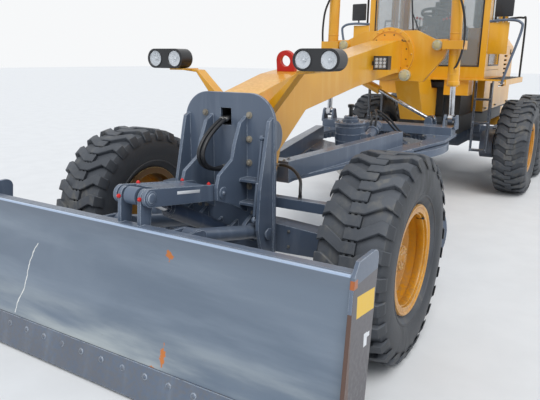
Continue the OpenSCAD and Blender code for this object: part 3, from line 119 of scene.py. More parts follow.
class Finish:  # a material that is being put together
    def __init__(self, name):
        self.material = bpy.data.materials.new(name)
        self.material.use_nodes = True
        self.tree = self.material.node_tree
        self.shader = self.tree.nodes["Principled BSDF"]

    def node(self, kind, settings, sockets, output=0):
        node = self.tree.nodes.new(kind)
        for key, value in settings.items():
            if key == "stops":
                ramp = node.color_ramp.elements
                while len(ramp) < len(value):
                    ramp.new(0.5)
                for element, (position, colour) in zip(ramp, value):
                    element.position = position
                    element.color = colour
            else:
                setattr(node, key, value)
        for key, value in sockets.items():
            feed(self.tree, value, node.inputs[key])
        return Wire(self.tree, node.outputs[output])

    def where(self, scale=(1, 1, 1), centre=(0, 0, 0), turn=(0, 0, 0)):
        found = self.node("ShaderNodeTexCoord", {}, {}, "Object")
        if centre != (0, 0, 0):
            found = self.node("ShaderNodeVectorMath", {"operation": "SUBTRACT"}, {0: found, 1: centre})
        return self.node("ShaderNodeMapping", {}, {"Vector": found, "Rotation": turn, "Scale": scale})

    def axis(self, name, vector=None):
        vector = vector or self.node("ShaderNodeTexCoord", {}, {}, "Object")
        return self.node("ShaderNodeSeparateXYZ", {}, {"Vector": vector}, name)

    def noise(self, scale, detail=3.0, stretch=(1, 1, 1), rough=0.55, warp=0.0):
        return self.node("ShaderNodeTexNoise", {}, {"Vector": self.where(stretch), "Scale": scale,
                         "Detail": detail, "Roughness": rough, "Distortion": warp}, "Fac")

    def fade(self, value, low, high, out=(0.0, 1.0)):  # from one end of a range to the other, smoothly
        return self.node("ShaderNodeMapRange", {"interpolation_type": "SMOOTHSTEP"},
                         {"Value": value, "From Min": low, "From Max": high, "To Min": out[0],
                          "To Max": out[1]})

    def mix(self, share, first, second, blend="MIX"):
        node = self.tree.nodes.new("ShaderNodeMix")
        node.data_type = "RGBA"
        node.blend_type = blend
        feed(self.tree, share, node.inputs[0])
        feed(self.tree, first, node.inputs[6])
        feed(self.tree, second, node.inputs[7])
        return Wire(self.tree, node.outputs[2])

    def sharpEdges(self, radius):  # 1 along the sharp edges of a solid, with the normal that rounds them
        rounded = self.node("ShaderNodeBevel", {"samples": 4}, {"Radius": radius})
        flat = self.node("ShaderNodeNewGeometry", {}, {}, "Normal")
        same = self.node("ShaderNodeVectorMath", {"operation": "DOT_PRODUCT"}, {0: rounded, 1: flat}, "Value")
        return self.fade(same, 0.985, 0.86), rounded

    def bump(self, height, strength, distance, normal=None):
        sockets = {"Height": height, "Strength": strength, "Distance": distance}
        if normal is not None:
            sockets["Normal"] = normal
        return self.node("ShaderNodeBump", {}, sockets)

    def set(self, **values):
        for key, value in values.items():
            feed(self.tree, value, self.shader.inputs[key.replace("_", " ")])
        return self.material


def rgb(red, green, blue):  # a colour as seen on the screen, from 0 to 255
    def linear(value):
        value = value / 255
        return value / 12.92 if value <= 0.04045 else ((value + 0.055) / 1.055) ** 2.4
    return (linear(red), linear(green), linear(blue), 1.0)


def paint(name, look):
    made = Finish(name)
    edge, rounded = made.sharpEdges(look["edge"])
    height = made.axis("Z")
    broad = made.noise(1.1, 3.0)
    streaks = made.noise(9.0, 4.0, (1, 1, 0.12))
    grain = made.noise(42.0, 5.0)
    base = made.mix(made.fade(broad, 0.35, 0.68), look["colour"], look["second"])
    base = made.mix(made.fade(streaks, 0.5, 0.75) * look["streaks"], base, look["pale"])
    low = made.fade(height, look["dirtTop"], 0.1)
    up = made.fade(made.axis("Z", made.node("ShaderNodeNewGeometry", {}, {}, "Normal")), 0.35, 0.95)
    dirt = (low * 0.75 + up * look["dust"]) * made.fade(grain + broad * 0.6, 0.62, 0.95)
    base = made.mix(dirt.low(1.0) * look["dirt"], base, look["dirtColour"])
    if look.get("innerShadeAndDirt"):  # painted shade and dirt on the side of a wheel that faces the machine
        base = made.mix(made.fade(made.axis("X").size(), 1.06, 1.0) * 0.85, base, look["innerShadeAndDirt"])
    # pale edges: chipped paint, and a painted highlight along the edges of the plates
    edgeChipsAndHighlight = edge * made.fade(made.noise(26.0, 2.0), look.get("edgeChipsAndHighlightFrom", 0.36), 0.52)
    base = made.mix(edgeChipsAndHighlight * look["edgeChipsAndHighlight"], base, look["paleMark"])
    for colour, (x, y, z), (wide, deep, tall), shear in look.get("marks", ()):
        along = made.axis("Y") - (y + axleY)
        up = made.axis("Z") - z + along * shear
        inside = ((made.axis("X").size() - x).size() < wide) * (along.size() < deep) * (up.size() < tall)
        base = made.mix(inside, base, colour)
    rough = look["rough"] + (grain - 0.5) * 0.16 + dirt * 0.25
    height = grain * 0.6 + made.noise(210.0, 2.0) * 0.4
    return made.set(Base_Color=base, Roughness=rough, Coat_Weight=look["coat"], Coat_Roughness=0.12,
                    Normal=made.bump(height, 0.12, 0.002, rounded))


# paleMark: the colour of the pale edges, for chipped paint and painted highlight, and of the blade's scratch
yellowLook = {"colour": rgb(238, 172, 34), "second": rgb(224, 156, 22), "pale": rgb(242, 198, 96),
              "dirtColour": rgb(124, 106, 84), "paleMark": rgb(244, 214, 146), "edge": 0.007, "streaks": 0.35,
              "dirtTop": 1.0, "dust": 0.25, "dirt": 0.6, "edgeChipsAndHighlight": 0.55, "rough": 0.34, "coat": 0.35}
slateLook = {"colour": rgb(93, 106, 124), "second": rgb(80, 93, 112), "pale": rgb(124, 135, 149),
             "dirtColour": rgb(116, 108, 98), "paleMark": rgb(190, 200, 212), "edge": 0.007, "streaks": 0.4,
             "dirtTop": 0.9, "dust": 0.35, "dirt": 0.5, "edgeChipsAndHighlight": 0.85, "edgeChipsAndHighlightFrom": 0.26, "rough": 0.38,
             "coat": 0.35}
blackLook = {"colour": rgb(38, 39, 42), "second": rgb(30, 31, 34), "pale": rgb(58, 58, 60),
             "dirtColour": rgb(96, 88, 78), "paleMark": rgb(110, 110, 112), "edge": 0.005, "streaks": 0.3,
             "dirtTop": 1.1, "dust": 0.5, "dirt": 0.45, "edgeChipsAndHighlight": 0.4, "rough": 0.5, "coat": 0.0}
redLook = dict(blackLook, colour=rgb(206, 30, 20), second=rgb(180, 24, 16), pale=rgb(224, 80, 60),
               paleMark=rgb(236, 170, 60), edgeChipsAndHighlight=0.8, rough=0.4, dust=0.2)
# the rims' inner side is darkened with painted shade and dirt
rimLook = dict(yellowLook, dirtTop=1.3, dirt=0.5, edgeChipsAndHighlight=0.7, paleMark=rgb(250, 222, 150), innerShadeAndDirt=rgb(50, 46, 42),
               colour=rgb(218, 150, 24), second=rgb(190, 128, 22))


def rubber(look):
    made = Finish("tyreRubber")
    broad = made.noise(3.0, 4.0)
    fine = made.noise(60.0, 6.0)
    streaks = made.noise(16.0, 5.0, (1, 1, 0.35), warp=0.6)
    base = made.mix(made.fade(broad, 0.3, 0.7), look["colour"], look["second"])
    dusty = made.fade(streaks, 0.45, 0.72) * made.fade(broad, 0.35, 0.65)
    base = made.mix(dusty * look["dust"], base, look["dustColour"])
    base = made.mix(made.fade(fine, 0.62, 0.8) * 0.35, base, look["dustColour"])
    facing = made.axis("X", made.node("ShaderNodeNewGeometry", {}, {}, "Normal")).size()
    walls = made.fade(facing, 0.72, 0.97)  # the side walls, which stay darker and smoother than the tread
    base = made.mix(walls * 0.8, base, look["wall"])
    return made.set(Base_Color=base, Roughness=0.6 + dusty * 0.25 - walls * 0.1,
                    Normal=made.bump(fine, 0.25, 0.004))


rubberLook = {"colour": rgb(64, 68, 74), "second": rgb(82, 86, 92), "dust": 0.6,
              "dustColour": rgb(132, 128, 118), "wall": rgb(40, 44, 50)}


def metal(name, colour, rough):
    made = Finish(name)
    wear = made.noise(30.0, 4.0, (1, 1, 0.2))
    return made.set(Base_Color=made.mix(made.fade(wear, 0.3, 0.8), colour, (0.3, 0.31, 0.33, 1)),
                    Metallic=1.0, Roughness=rough + wear * 0.12, Normal=made.bump(wear, 0.05, 0.001))


def jackRod(centre, reach):  # the blade's jack: a bright rod whose eye is painted
    made = Finish("jackRod")
    away = made.node("ShaderNodeVectorMath", {"operation": "MULTIPLY"},
                     {0: made.where(centre=centre), 1: (0, 1, 1)})
    far = made.node("ShaderNodeVectorMath", {"operation": "LENGTH"}, {0: away}, "Value")
    eye = far < reach
    return made.set(Base_Color=made.mix(eye, rgb(214, 216, 220), slateLook["colour"]), Metallic=1.0 - eye,
                    Roughness=0.14 + eye * 0.26)


def glass(name, tint, share):
    made = Finish(name)
    smear = made.noise(2.5, 4.0, (1, 1, 0.4))
    return made.set(Base_Color=made.mix(smear, tint, (0.5, 0.54, 0.56, 1)), Roughness=0.04 + smear * 0.05,
                    Alpha=share + made.fade(smear, 0.45, 0.8) * 0.12, Coat_Weight=1.0, Coat_Roughness=0.03)


def plastic(name, colour, second, rough):
    made = Finish(name)
    grain = made.noise(180.0, 3.0)
    broad = made.noise(4.0, 3.0)
    return made.set(Base_Color=made.mix(made.fade(broad, 0.35, 0.7), colour, second),
                    Roughness=rough + (grain - 0.5) * 0.2, Normal=made.bump(grain, 0.18, 0.002))


def bladeSteel(look):  # the dozer blade's face: pale bands along it and a lighter bottom, both painted reflection of the sky, painted shade towards the top, a painted highlight along the top edge, a long scratch and spots of rust
    made = Finish("bladeFace")
    across, height = made.axis("X"), made.axis("Z")
    clouds = made.noise(1.6, 4.0, (0.5, 1, 1.6), warp=0.8)
    bands = made.noise(5.0, 5.0, (0.16, 1, 1.1))
    fine = made.noise(60.0, 4.0, (0.08, 1, 1))
    base = made.mix(made.fade(clouds, 0.32, 0.68), look["colour"], look["second"])
    # pale bands along the face: painted reflection of the sky
    base = made.mix(made.fade(bands, 0.42, 0.72) * 0.55, base, look["pale"])
    # lighter towards the bottom, where the face tilts up: painted reflection of the sky
    base = made.mix(made.fade(height, 0.5, 0.24) * made.fade(bands + clouds * 0.5, 0.55, 0.95) * 0.8, base,
                    look["low"])
    # darker towards the top: painted shade
    base = made.mix(made.fade(height, 0.86, 1.0) * 0.3, base, look["dark"])
    # a pale blue line along the top edge: painted highlight
    base = made.mix(made.fade(height, 0.986, 0.992), base, look["edge"])
    wander = (made.noise(9.0, 3.0) - 0.5) * 0.05
    lean = across - (height * 0.36 + look["scratch"][0])
    bend = (height - 0.62).top(0.0) * -0.36
    line = (lean + bend + wander).size() < 0.0042
    part = (height > look["scratch"][1]) * (height < look["scratch"][2])
    base = made.mix(line * part, base, look["paleMark"])
    spots = None
    for x, z, wide, tall in look["rust"]:
        far = ((across - x) / wide).size() + ((height - z) / tall).size()
        spot = made.fade(far + (made.noise(38.0, 4.0) - 0.5) * 2.4, 1.0, 0.75)
        spots = spot if spots is None else spots.top(spot)
    base = made.mix(spots * 0.9, base, look["rustColour"])
    specks = made.fade(made.noise(120.0, 2.0), 0.70, 0.76) * 0.4
    base = made.mix(specks, base, look["dirt"])
    rough = 0.34 + (fine - 0.5) * 0.2 + spots * 0.35
    return made.set(Base_Color=base, Roughness=rough, Metallic=0.15, Coat_Weight=0.25, Coat_Roughness=0.15,
                    Normal=made.bump(fine * 0.7 + bands * 0.3, 0.1, 0.002))


# pale and low: painted reflection of the sky; dark: painted shade; edge: painted highlight along the top edge
bladeLook = {"colour": rgb(103, 117, 133), "second": rgb(117, 130, 145), "pale": rgb(141, 153, 166),
             "low": rgb(182, 188, 186), "dark": rgb(82, 88, 100), "edge": rgb(186, 204, 228),
             "paleMark": rgb(226, 226, 222), "dirt": rgb(128, 116, 100),
             "rustColour": rgb(206, 118, 32), "scratch": (-1.087, 0.235, 0.745),
             "rust": ((0.33, 0.882, 0.03, 0.032), (0.292, 0.30, 0.025, 0.075), (0.235, 0.215, 0.06, 0.02))}

finishes = {
    "yellow_paint": paint("yellowPaint", yellowLook),
    "slate_paint": paint("slatePaint", slateLook),
    "red_paint": paint("redPaint", redLook),
    "black_paint": paint("blackPaint", blackLook),
    "chrome_rod": metal("chromeRod", rgb(214, 216, 220), 0.12),
    "tyre_rubber": rubber(rubberLook),
    "window_glass": glass("windowGlass", rgb(150, 168, 172), 0.28),
    "lamp_body": plastic("lampBody", rgb(34, 35, 38), rgb(46, 47, 50), 0.32),
    "red_lens": plastic("redLens", rgb(160, 18, 14), rgb(124, 10, 10), 0.2),
    "seat_vinyl": plastic("seatVinyl", rgb(44, 44, 48), rgb(56, 56, 60), 0.55),
    "cab_plastic": plastic("cabPlastic", rgb(52, 53, 56), rgb(62, 62, 66), 0.6),
    "hose_rubber": plastic("hoseRubber", rgb(30, 31, 34), rgb(50, 51, 54), 0.42),
}
rimPaint = paint("rimPaint", rimLook)
# On the ends of the blade: a dark edge, a blank sticker, a blank tag and rust
bladePaint = paint("bladePaint", dict(slateLook, marks=(
    (rgb(80, 77, 82), (1.385, -1.12, 0.45), (0.0012, 0.24, 0.5), 0.0),
    (rgb(244, 196, 20), (1.385, -1.067, 0.8235), (0.004, 0.105, 0.053), 0.132),
    (rgb(232, 234, 236), (1.385, -1.05, 0.632), (0.004, 0.02, 0.034), 0.1),
    (rgb(232, 234, 236), (1.385, -1.035, 0.648), (0.004, 0.034, 0.012), 0.1),
    (rgb(92, 66, 54), (1.373, -1.3, 0.42), (0.02, 0.072, 0.4), -0.13),
    (rgb(176, 96, 40), (1.373, -1.196, 0.956), (0.02, 0.02, 0.02), 0.0))))
# the rear frame in dark grey: painted shade under the cab, with dirt
frameShadePaint = paint("frameShadePaint", dict(blackLook, colour=rgb(58, 60, 62), second=rgb(44, 46, 48)))
# white in place of the lamp bowls' chrome: a painted reflection
reflector = plastic("reflector", rgb(244, 246, 248), rgb(226, 230, 234), 0.2)
jackPaint = paint("jackPaint", dict(slateLook, colour=rgb(60, 74, 96), second=rgb(50, 62, 84), streaks=0.2))
ladderPaint = paint("ladderPaint", dict(slateLook, colour=rgb(62, 68, 78), second=rgb(52, 58, 68)))
boltPaint = plastic("boltPaint", rgb(156, 148, 132), rgb(120, 114, 104), 0.45)
trimBlack = plastic("trimBlack", rgb(26, 27, 29), rgb(38, 39, 41), 0.4)
boltSteel = metal("boltSteel", rgb(168, 166, 160), 0.38)
brightMetal = metal("brightMetal", rgb(222, 224, 228), 0.16)
lensGlass = glass("lensGlass", rgb(236, 240, 244), 0.14)
paleCast = paint("paleCast", dict(slateLook, colour=rgb(206, 196, 150), second=rgb(180, 166, 118),
                                  pale=rgb(222, 216, 186)))
tagWhite = plastic("tagWhite", rgb(232, 234, 236), rgb(210, 212, 214), 0.5)
capRed = plastic("capRed", rgb(222, 40, 36), rgb(196, 26, 24), 0.35)
bladeFace = bladeSteel(bladeLook)
print("materials made")

linkPin = (-1.09, 1.14)  # y and z of the pin between the blade, its upper link and its jack

ownFinishes = {"dozer_barrel": jackPaint, "dozer_blade": bladePaint, "rear_frame": frameShadePaint,
               "ladders": ladderPaint, "dozer_rod": jackRod(tuple(place(0, *linkPin)), 0.078)}
for part in frame["record"]["subparts"]:
    shown = nodes[part["node"]]
    finish = rimPaint if part["node"].startswith("rim_") else finishes[part["material_slot"]]
    shown.data.materials.clear()
    shown.data.materials.append(ownFinishes.get(part["node"], finish))


def added(name, data):
    made = bpy.data.objects.new(name, data)
    bpy.context.scene.collection.objects.link(made)
    return made


def piece(name, bm, body, slot, finish=None, sharp=35):  # without a finish it gets its slot's
    mesh = bpy.data.meshes.new(name)
    bmesh.ops.recalc_face_normals(bm, faces=bm.faces)
    bm.to_mesh(mesh)
    bm.free()
    mesh.polygons.foreach_set("use_smooth", [True] * len(mesh.polygons))
    mesh.set_sharp_from_angle(angle=radians(sharp))
    mesh.materials.append(finish or finishes[slot])
    made = added(name, mesh)
    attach(made, body)
    return made


def spun(bm, profile, axis, centre, steps):  # a ring of faces from a line of (along the axis, radius) points
    axis = Vector(axis).normalized()
    side = axis.orthogonal().normalized()
    made = [bm.verts.new(centre + axis * along + side * radius) for along, radius in profile]
    edges = [bm.edges.new(pair) for pair in zip(made, made[1:])]
    bmesh.ops.spin(bm, geom=made + edges, cent=centre, axis=axis, angle=2 * pi, steps=steps, use_merge=True)
    bmesh.ops.remove_doubles(bm, verts=bm.verts, dist=1e-5)


def turned(axis):
    return Vector((0, 0, 1)).rotation_difference(Vector(axis)).to_matrix().to_4x4()


def setDown(bm, old, matrix):  # moves what was made since the set of old corners was taken
    bmesh.ops.transform(bm, matrix=matrix, verts=[vert for vert in bm.verts if vert not in old])


def soften(bm, edges, offset, segments=2):
    bmesh.ops.bevel(bm, geom=list(edges), offset=offset, segments=segments, profile=0.5, affect="EDGES",
                    material=-1)


def drum(bm, centre, axis, depth, radius, far=None, steps=32, soft=0.0):  # a round bar, plate or cone
    old = set(bm.verts)
    made = bmesh.ops.create_cone(bm, cap_ends=True, segments=steps, radius1=radius,
                                 radius2=radius if far is None else far, depth=depth)["verts"]
    if soft:
        rims = {edge for vert in made for edge in vert.link_edges
                if abs(edge.verts[0].co.z - edge.verts[1].co.z) < 1e-6}
        soften(bm, rims, soft)
    setDown(bm, old, Matrix.Translation(centre) @ turned(axis))


# A box between two points from the front axle, turned round its middle
def block(bm, low, high, soft=0.0, turn=None):
    old = set(bm.verts)
    low, high = place(*low), place(*high)
    made = bmesh.ops.create_cube(bm, size=1.0)["verts"]
    bmesh.ops.scale(bm, vec=high - low, verts=made)
    if soft:
        edges = {edge for vert in made for edge in vert.link_edges}
        soften(bm, edges, soft)
    setDown(bm, old, Matrix.Translation((low + high) / 2) @ (turn or Matrix.Identity(4)))


def dome(bm, centre, axis, radius, height):
    old = set(bm.verts)
    made = bmesh.ops.create_uvsphere(bm, u_segments=16, v_segments=10, radius=radius)["verts"]
    bmesh.ops.scale(bm, vec=(1, 1, height / radius), verts=made)
    setDown(bm, old, Matrix.Translation(centre) @ turned(axis))


def bolt(bm, spot, axis, size):  # a washer and a hexagon head that stand on a face at spot
    axis = Vector(axis).normalized()
    drum(bm, spot + axis * size * 0.12, axis, size * 0.3, size * 1.05, steps=20)
    drum(bm, spot + axis * size * 0.5, axis, size * 0.75, size * 0.66, steps=6, soft=size * 0.07)


def bolts(name, spots, axis, size, body, slot="slate_paint", finish=boltSteel):
    bm = bmesh.new()
    for spot in spots:
        bolt(bm, place(*spot), axis, size)
    return piece(name, bm, body, slot, finish)


def doubled(bm):  # a second layer of all faces, as its corners
    grown = bmesh.ops.extrude_face_region(bm, geom=bm.faces[:], use_keep_orig=True)["geom"]
    return [vert for vert in grown if isinstance(vert, bmesh.types.BMVert)]


def ring(count, radius, plane, first=0.0):  # the steps out to a ring of like parts, in a plane such as "xz"
    steps = []
    for k in range(count):
        turn = radians(360 / count * k + first)
        step = Vector((0, 0, 0))
        step["xyz".index(plane[0])] = radius * cos(turn)
        step["xyz".index(plane[1])] = radius * sin(turn)
        steps.append(step)
    return steps


def boltRing(bm, centre, axis, count, radius, plane, size, first=0.0):
    for step in ring(count, radius, plane, first):
        bolt(bm, centre + step, axis, size)


def rod(bm, start, end, radius, steps=12, soft=0.0):
    drum(bm, (start + end) / 2, end - start, (end - start).length, radius, steps=steps, soft=soft)


def flip(side, points):  # points given for the left side, on either side
    return [(side * x, y, z) for x, y, z in points]


def sideBlock(bm, side, low, high, soft=0.0, turn=None):  # a box given for the left side, on either side
    x0, x1 = sorted((side * low[0], side * high[0]))
    block(bm, (x0, *low[1:]), (x1, *high[1:]), soft, turn)


def smooth(points, steps):  # a smooth line through points
    ends = [points[0]] + points + [points[-1]]
    made = []
    for a, b, c, d in zip(ends, ends[1:], ends[2:], ends[3:]):
        for k in range(steps):
            t = k / steps
            made.append((2 * b + (c - a) * t + (2 * a - 5 * b + 4 * c - d) * t * t
                         + (3 * b - a - 3 * c + d) * t * t * t) / 2)
    return made + [points[-1]]


def pipes(name, routes, radius, body, slot, finish=None, steps=6, ribs=0.0, sides=3):
    data = bpy.data.curves.new(name, "CURVE")
    data.dimensions = "3D"
    data.bevel_depth = radius
    data.bevel_resolution = sides
    data.use_fill_caps = True
    for route in routes:
        points = smooth([place(*point) for point in route], steps)
        line = data.splines.new("POLY")
        line.points.add(len(points) - 1)
        for k, (spot, point) in enumerate(zip(line.points, points)):
            spot.co = (*point, 1)
            spot.radius = 1 - ribs * (k % 2)
    curve = added(name + "Curve", data)
    bpy.context.view_layer.update()
    mesh = bpy.data.meshes.new_from_object(curve.evaluated_get(bpy.context.evaluated_depsgraph_get()))
    bm = bmesh.new()
    bm.from_mesh(mesh)
    bpy.data.meshes.remove(mesh)
    bpy.data.objects.remove(curve)
    bmesh.ops.remove_doubles(bm, verts=bm.verts, dist=1e-6)
    return piece(name, bm, body, slot, finish, sharp=50)


tyreShape = {"lugs": 27, "phase": 4.0, "half": 0.2215, "steps": 108}
# One lug of a tyre's outer half: distance from the tyre's middle, lower and upper angle, radius of its top
lugStations = [(-0.042, 0.0, 5.7, 0.669), (0.042, 0.0, 5.7, 0.669), (0.052, 0.2, 6.7, 0.669),
               (0.155, 5.4, 12.0, 0.667), (0.196, 4.4, 11.4, 0.655), (0.222, 4.2, 11.2, 0.602)]
lugFoot = [0.641, 0.641, 0.641, 0.638, 0.628, 0.585]


def tyre(name, node, body):
    centre = middle(node)
    half = tyreShape["half"]
    bm = bmesh.new()
    bead, flange = 0.318, 0.3615
    wall = [(0.1657, bead), (0.1657, flange), (0.1777, flange + 0.014), (0.2, 0.402), (0.2065, 0.404),
            (0.208, 0.412), (0.2045, 0.418), (half - 0.008, 0.44), (half, 0.48), (half - 0.002, 0.54),
            (half - 0.011, 0.59), (half - 0.03, 0.622), (0.12, 0.638)]
    carcass = [(-x, radius) for x, radius in wall] + [(0, 0.641)] + list(reversed(wall))
    spun(bm, carcass, (1, 0, 0), centre, tyreShape["steps"])
    pitch = 360 / tyreShape["lugs"]
    for index in range(2 * tyreShape["lugs"]):
        lugSide = 1 if index % 2 else -1
        start = index * pitch / 2 + tyreShape["phase"]
        lug(bm, centre, start, lugSide)
        for x in (-0.018, 0.018):
            tie(bm, centre, start + 5.7, x)
    made = piece(name, bm, body, "tyre_rubber", sharp=32)
    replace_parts(made, node)


def onTyre(centre, x, angle, radius):  # the angle runs up the front of a wheel
    turn = radians(angle)
    return centre + Vector((x, -radius * cos(turn), radius * sin(turn)))


def lug(bm, centre, start, lugSide):
    rows = []
    for (x, low, high, radius), foot in zip(lugStations, lugFoot):
        corners = ((low, radius), (high, radius), (high, foot - 0.004), (low, foot - 0.004))
        spots = [onTyre(centre, x * lugSide, start + angle, reach) for angle, reach in corners]
        rows.append([bm.verts.new(spot) for spot in spots])
    faces = [bm.faces.new(rows[0]), bm.faces.new(reversed(rows[-1]))]
    for near, far in zip(rows, rows[1:]):
        for k in range(4):
            faces.append(bm.faces.new((near[k], near[k - 1], far[k - 1], far[k])))
    crown = [bm.edges.get((near[k], far[k])) for near, far in zip(rows, rows[1:]) for k in (0, 1)]
    crown += [bm.edges.get((rows[0][0], rows[0][1])), bm.edges.get((rows[-1][0], rows[-1][1]))]
    soften(bm, crown, 0.005, 1)


def tie(bm, centre, angle, x):
    made = bmesh.ops.create_cube(bm, size=1.0)["verts"]
    spot = onTyre(centre, x, angle + 0.48, 0.645)
    turn = Matrix.Rotation(-radians(angle), 4, "X")
    bmesh.ops.scale(bm, vec=(0.018, 0.024, 0.02), verts=made)
    bmesh.ops.transform(bm, matrix=Matrix.Translation(spot) @ turn, verts=made)


sides = (("left", 1), ("right", -1))
wheelSides = {row + "_" + name: side for row in ("front", "mid", "rear") for name, side in sides}
for wheel in wheelSides:
    tyre("treaded_tyre_" + wheel, "tyre_" + wheel, "wheel_" + wheel)
print("tyres made")

# Blade: a face plate over the solid's face, and the bolt heads of the cutting edge
faceShape = {"half": 1.364, "centre": (-2.9655, 0.7173), "radius": 1.7757, "low": -16.2, "high": 9.15,
             "depth": 0.0135}
edgeBolts = {"first": -1.2, "step": 0.174, "count": 15, "y": -1.2822, "z": 0.163}


def blade():
    bm = bmesh.new()
    turn = radians(faceShape["low"])
    y = faceShape["centre"][0] + faceShape["radius"] * cos(turn)
    z = faceShape["centre"][1] + faceShape["radius"] * sin(turn)
    ends = [bm.verts.new(place(x, y, z)) for x in (-faceShape["half"], faceShape["half"])]
    edge = bm.edges.new(ends)
    bmesh.ops.spin(bm, geom=ends + [edge], cent=place(0, *faceShape["centre"]), axis=(1, 0, 0), steps=24,
                   angle=radians(faceShape["high"] - faceShape["low"]))
    bmesh.ops.translate(bm, vec=(0, faceShape["depth"], 0), verts=doubled(bm))
    piece("blade_face_plate", bm, "dozer_blade", "slate_paint", bladeFace, sharp=40)

    bm = bmesh.new()
    for k in range(edgeBolts["count"]):
        spot = place(edgeBolts["first"] + k * edgeBolts["step"], edgeBolts["y"], edgeBolts["z"])
        drum(bm, spot, (0, -0.968, 0.252), 0.004, 0.02, steps=24, soft=0.001)
        dome(bm, spot + Vector((0, -0.002, 0)), (0, -0.968, 0.252), 0.014, 0.007)
    piece("edge_bolts", bm, "dozer_blade", "slate_paint")

    bm = bmesh.new()
    # black discs for the holes in the end plates: painted shade
    for side in (-1, 1):
        drum(bm, place(side * 1.3833, -0.98, 0.965), (side, 0, 0), 0.003, 0.022, steps=24, soft=0.001)
    piece("end_plate_hole_shade", bm, "dozer_blade", "slate_paint", trimBlack)


hoseRoute = [(-0.0453, 1.5), (-0.12, 1.5), (-0.21, 1.49), (-0.315, 1.445), (-0.42, 1.37), (-0.47, 1.29),
             (-0.44, 1.215), (-0.33, 1.165), (-0.1903, 1.16)]
axleRoute = [(0.1503, 0.2, 1.13), (0.235, 0.2, 1.13), (0.34, 0.14, 1.112), (0.43, 0.06, 1.07),
             (0.464, 0, 1.01), (0.464, 0, 0.9513)]
hosePlaces = (-0.038, -0.004)


def nosePlate():  # what is on the mount plate in front of the nose
    spots = [(x, -0.19, z) for x in (-0.193, 0.172) for z in (1.526, 1.366, 1.206, 1.043)]
    bolts("mount_bolts", spots, (0, -1, 0), 0.022, "front", finish=boltPaint)
    bolts("foot_bolts", [(x, -0.19, 0.86) for x in (-0.26, -0.2, 0.2, 0.26)], (0, -1, 0), 0.016, "front")
    bm = bmesh.new()
    # a black lining inside the slot of the nose: painted shade in the recess
    block(bm, (-0.0648, -0.168, 1.4502), (0.0248, -0.0465, 1.5648))
    mouth = min(bm.faces, key=lambda face: face.calc_center_median().y)
    bmesh.ops.delete(bm, geom=[mouth], context="FACES_ONLY")
    bmesh.ops.solidify(bm, geom=bm.faces[:], thickness=0.0022)
    piece("slot_shade_lining", bm, "front", "black_paint", trimBlack)

    made = pipes("blade_hoses", [[(x, y, z) for y, z in hoseRoute] for x in hosePlaces], 0.0145, "front",
                 "hose_rubber", steps=18, ribs=0.16)
    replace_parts(made, "hoses")
    made = pipes("axle_hose", [axleRoute], 0.0115, "front", "hose_rubber", steps=8)
    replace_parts(made, "hoses")
    bm = bmesh.new()
    for x in hosePlaces:
        drum(bm, place(x, -0.205, 1.4908), (0, -1, -0.12), 0.035, 0.0165, steps=20, soft=0.002)
        drum(bm, place(x, -0.2, 1.16), (0, 1, 0), 0.03, 0.0165, steps=6, soft=0.002)
    drum(bm, place(0.165, 0.2, 1.13), (1, 0, 0), 0.03, 0.014, steps=6, soft=0.002)
    drum(bm, place(0.464, 0, 0.965), (0, 0, 1), 0.03, 0.014, steps=6, soft=0.002)
    piece("hose_fittings", bm, "front", "chrome_rod", boltSteel)

    bm = bmesh.new()
    start, end = place(0.306, -0.245, 1.39), place(0.306, -0.34, 0.86)
    rod(bm, start, end, 0.009, 16)
    for spot in (start, end):
        drum(bm, spot, (1, 0, 0), 0.02, 0.02, steps=24, soft=0.003)
        drum(bm, spot + Vector((0.015, 0, 0)), (1, 0, 0), 0.03, 0.008, steps=12)
    rod(bm, start.lerp(end, 0.55), start.lerp(end, 0.95), 0.014, 16, 0.002)
    piece("blade_gauge_rod", bm, "front", "slate_paint")


def linkage():  # pins, grease caps and a thin white strip on the upper link
    bm = bmesh.new()
    for side in (-1, 1):
        drum(bm, place(side * 0.122, *linkPin), (side, 0, 0), 0.006, 0.041, steps=40, soft=0.002)
        drum(bm, place(side * 0.125, *linkPin), (side, 0, 0), 0.008, 0.027, steps=32, soft=0.002)
    piece("link_pin_ends", bm, "dozer_link", "slate_paint")
    bm = bmesh.new()
    for side in (-1, 1):
        drum(bm, place(side * 0.1535, -0.47, 1.05), (side, 0, 0), 0.008, 0.04, steps=40, soft=0.002)
        bolt(bm, place(side * 0.157, -0.47, 1.05), (side, 0, 0), 0.012)
        drum(bm, place(side * 0.372, -0.26, 0.755), (side, 0, 0), 0.008, 0.04, steps=40, soft=0.002)
    piece("mount_pin_ends", bm, "front", "slate_paint")
    bm = bmesh.new()
    turn = Matrix.Rotation(radians(-8.2), 4, "X")
    block(bm, (0.1195, -0.875, 1.103), (0.1212, -0.665, 1.122), 0.0005, turn)
    piece("white_strip", bm, "dozer_link", "slate_paint", tagWhite)
    bm = bmesh.new()
    for x, y, z, axis in ((-0.075, -1.143, 1.14, (0, -1, 0)), (0.083, -1.143, 1.14, (0, -1, 0)),
                          (-0.108, -0.955, 1.176, (0, 0, 1)), (-0.108, -0.56, 1.118, (0, 0, 1)),
                          (0.108, -0.56, 1.118, (0, 0, 1))):
        drum(bm, place(x, y, z), axis, 0.014, 0.012, steps=16, soft=0.003)
        dome(bm, place(x, y, z) + Vector(axis) * 0.007, axis, 0.008, 0.008)
    piece("grease_caps", bm, "dozer_link", "red_paint", capRed)


lampShape = {"y": -0.12, "z": 1.885, "x": 0.615, "apart": 0.09, "radius": 0.0575}


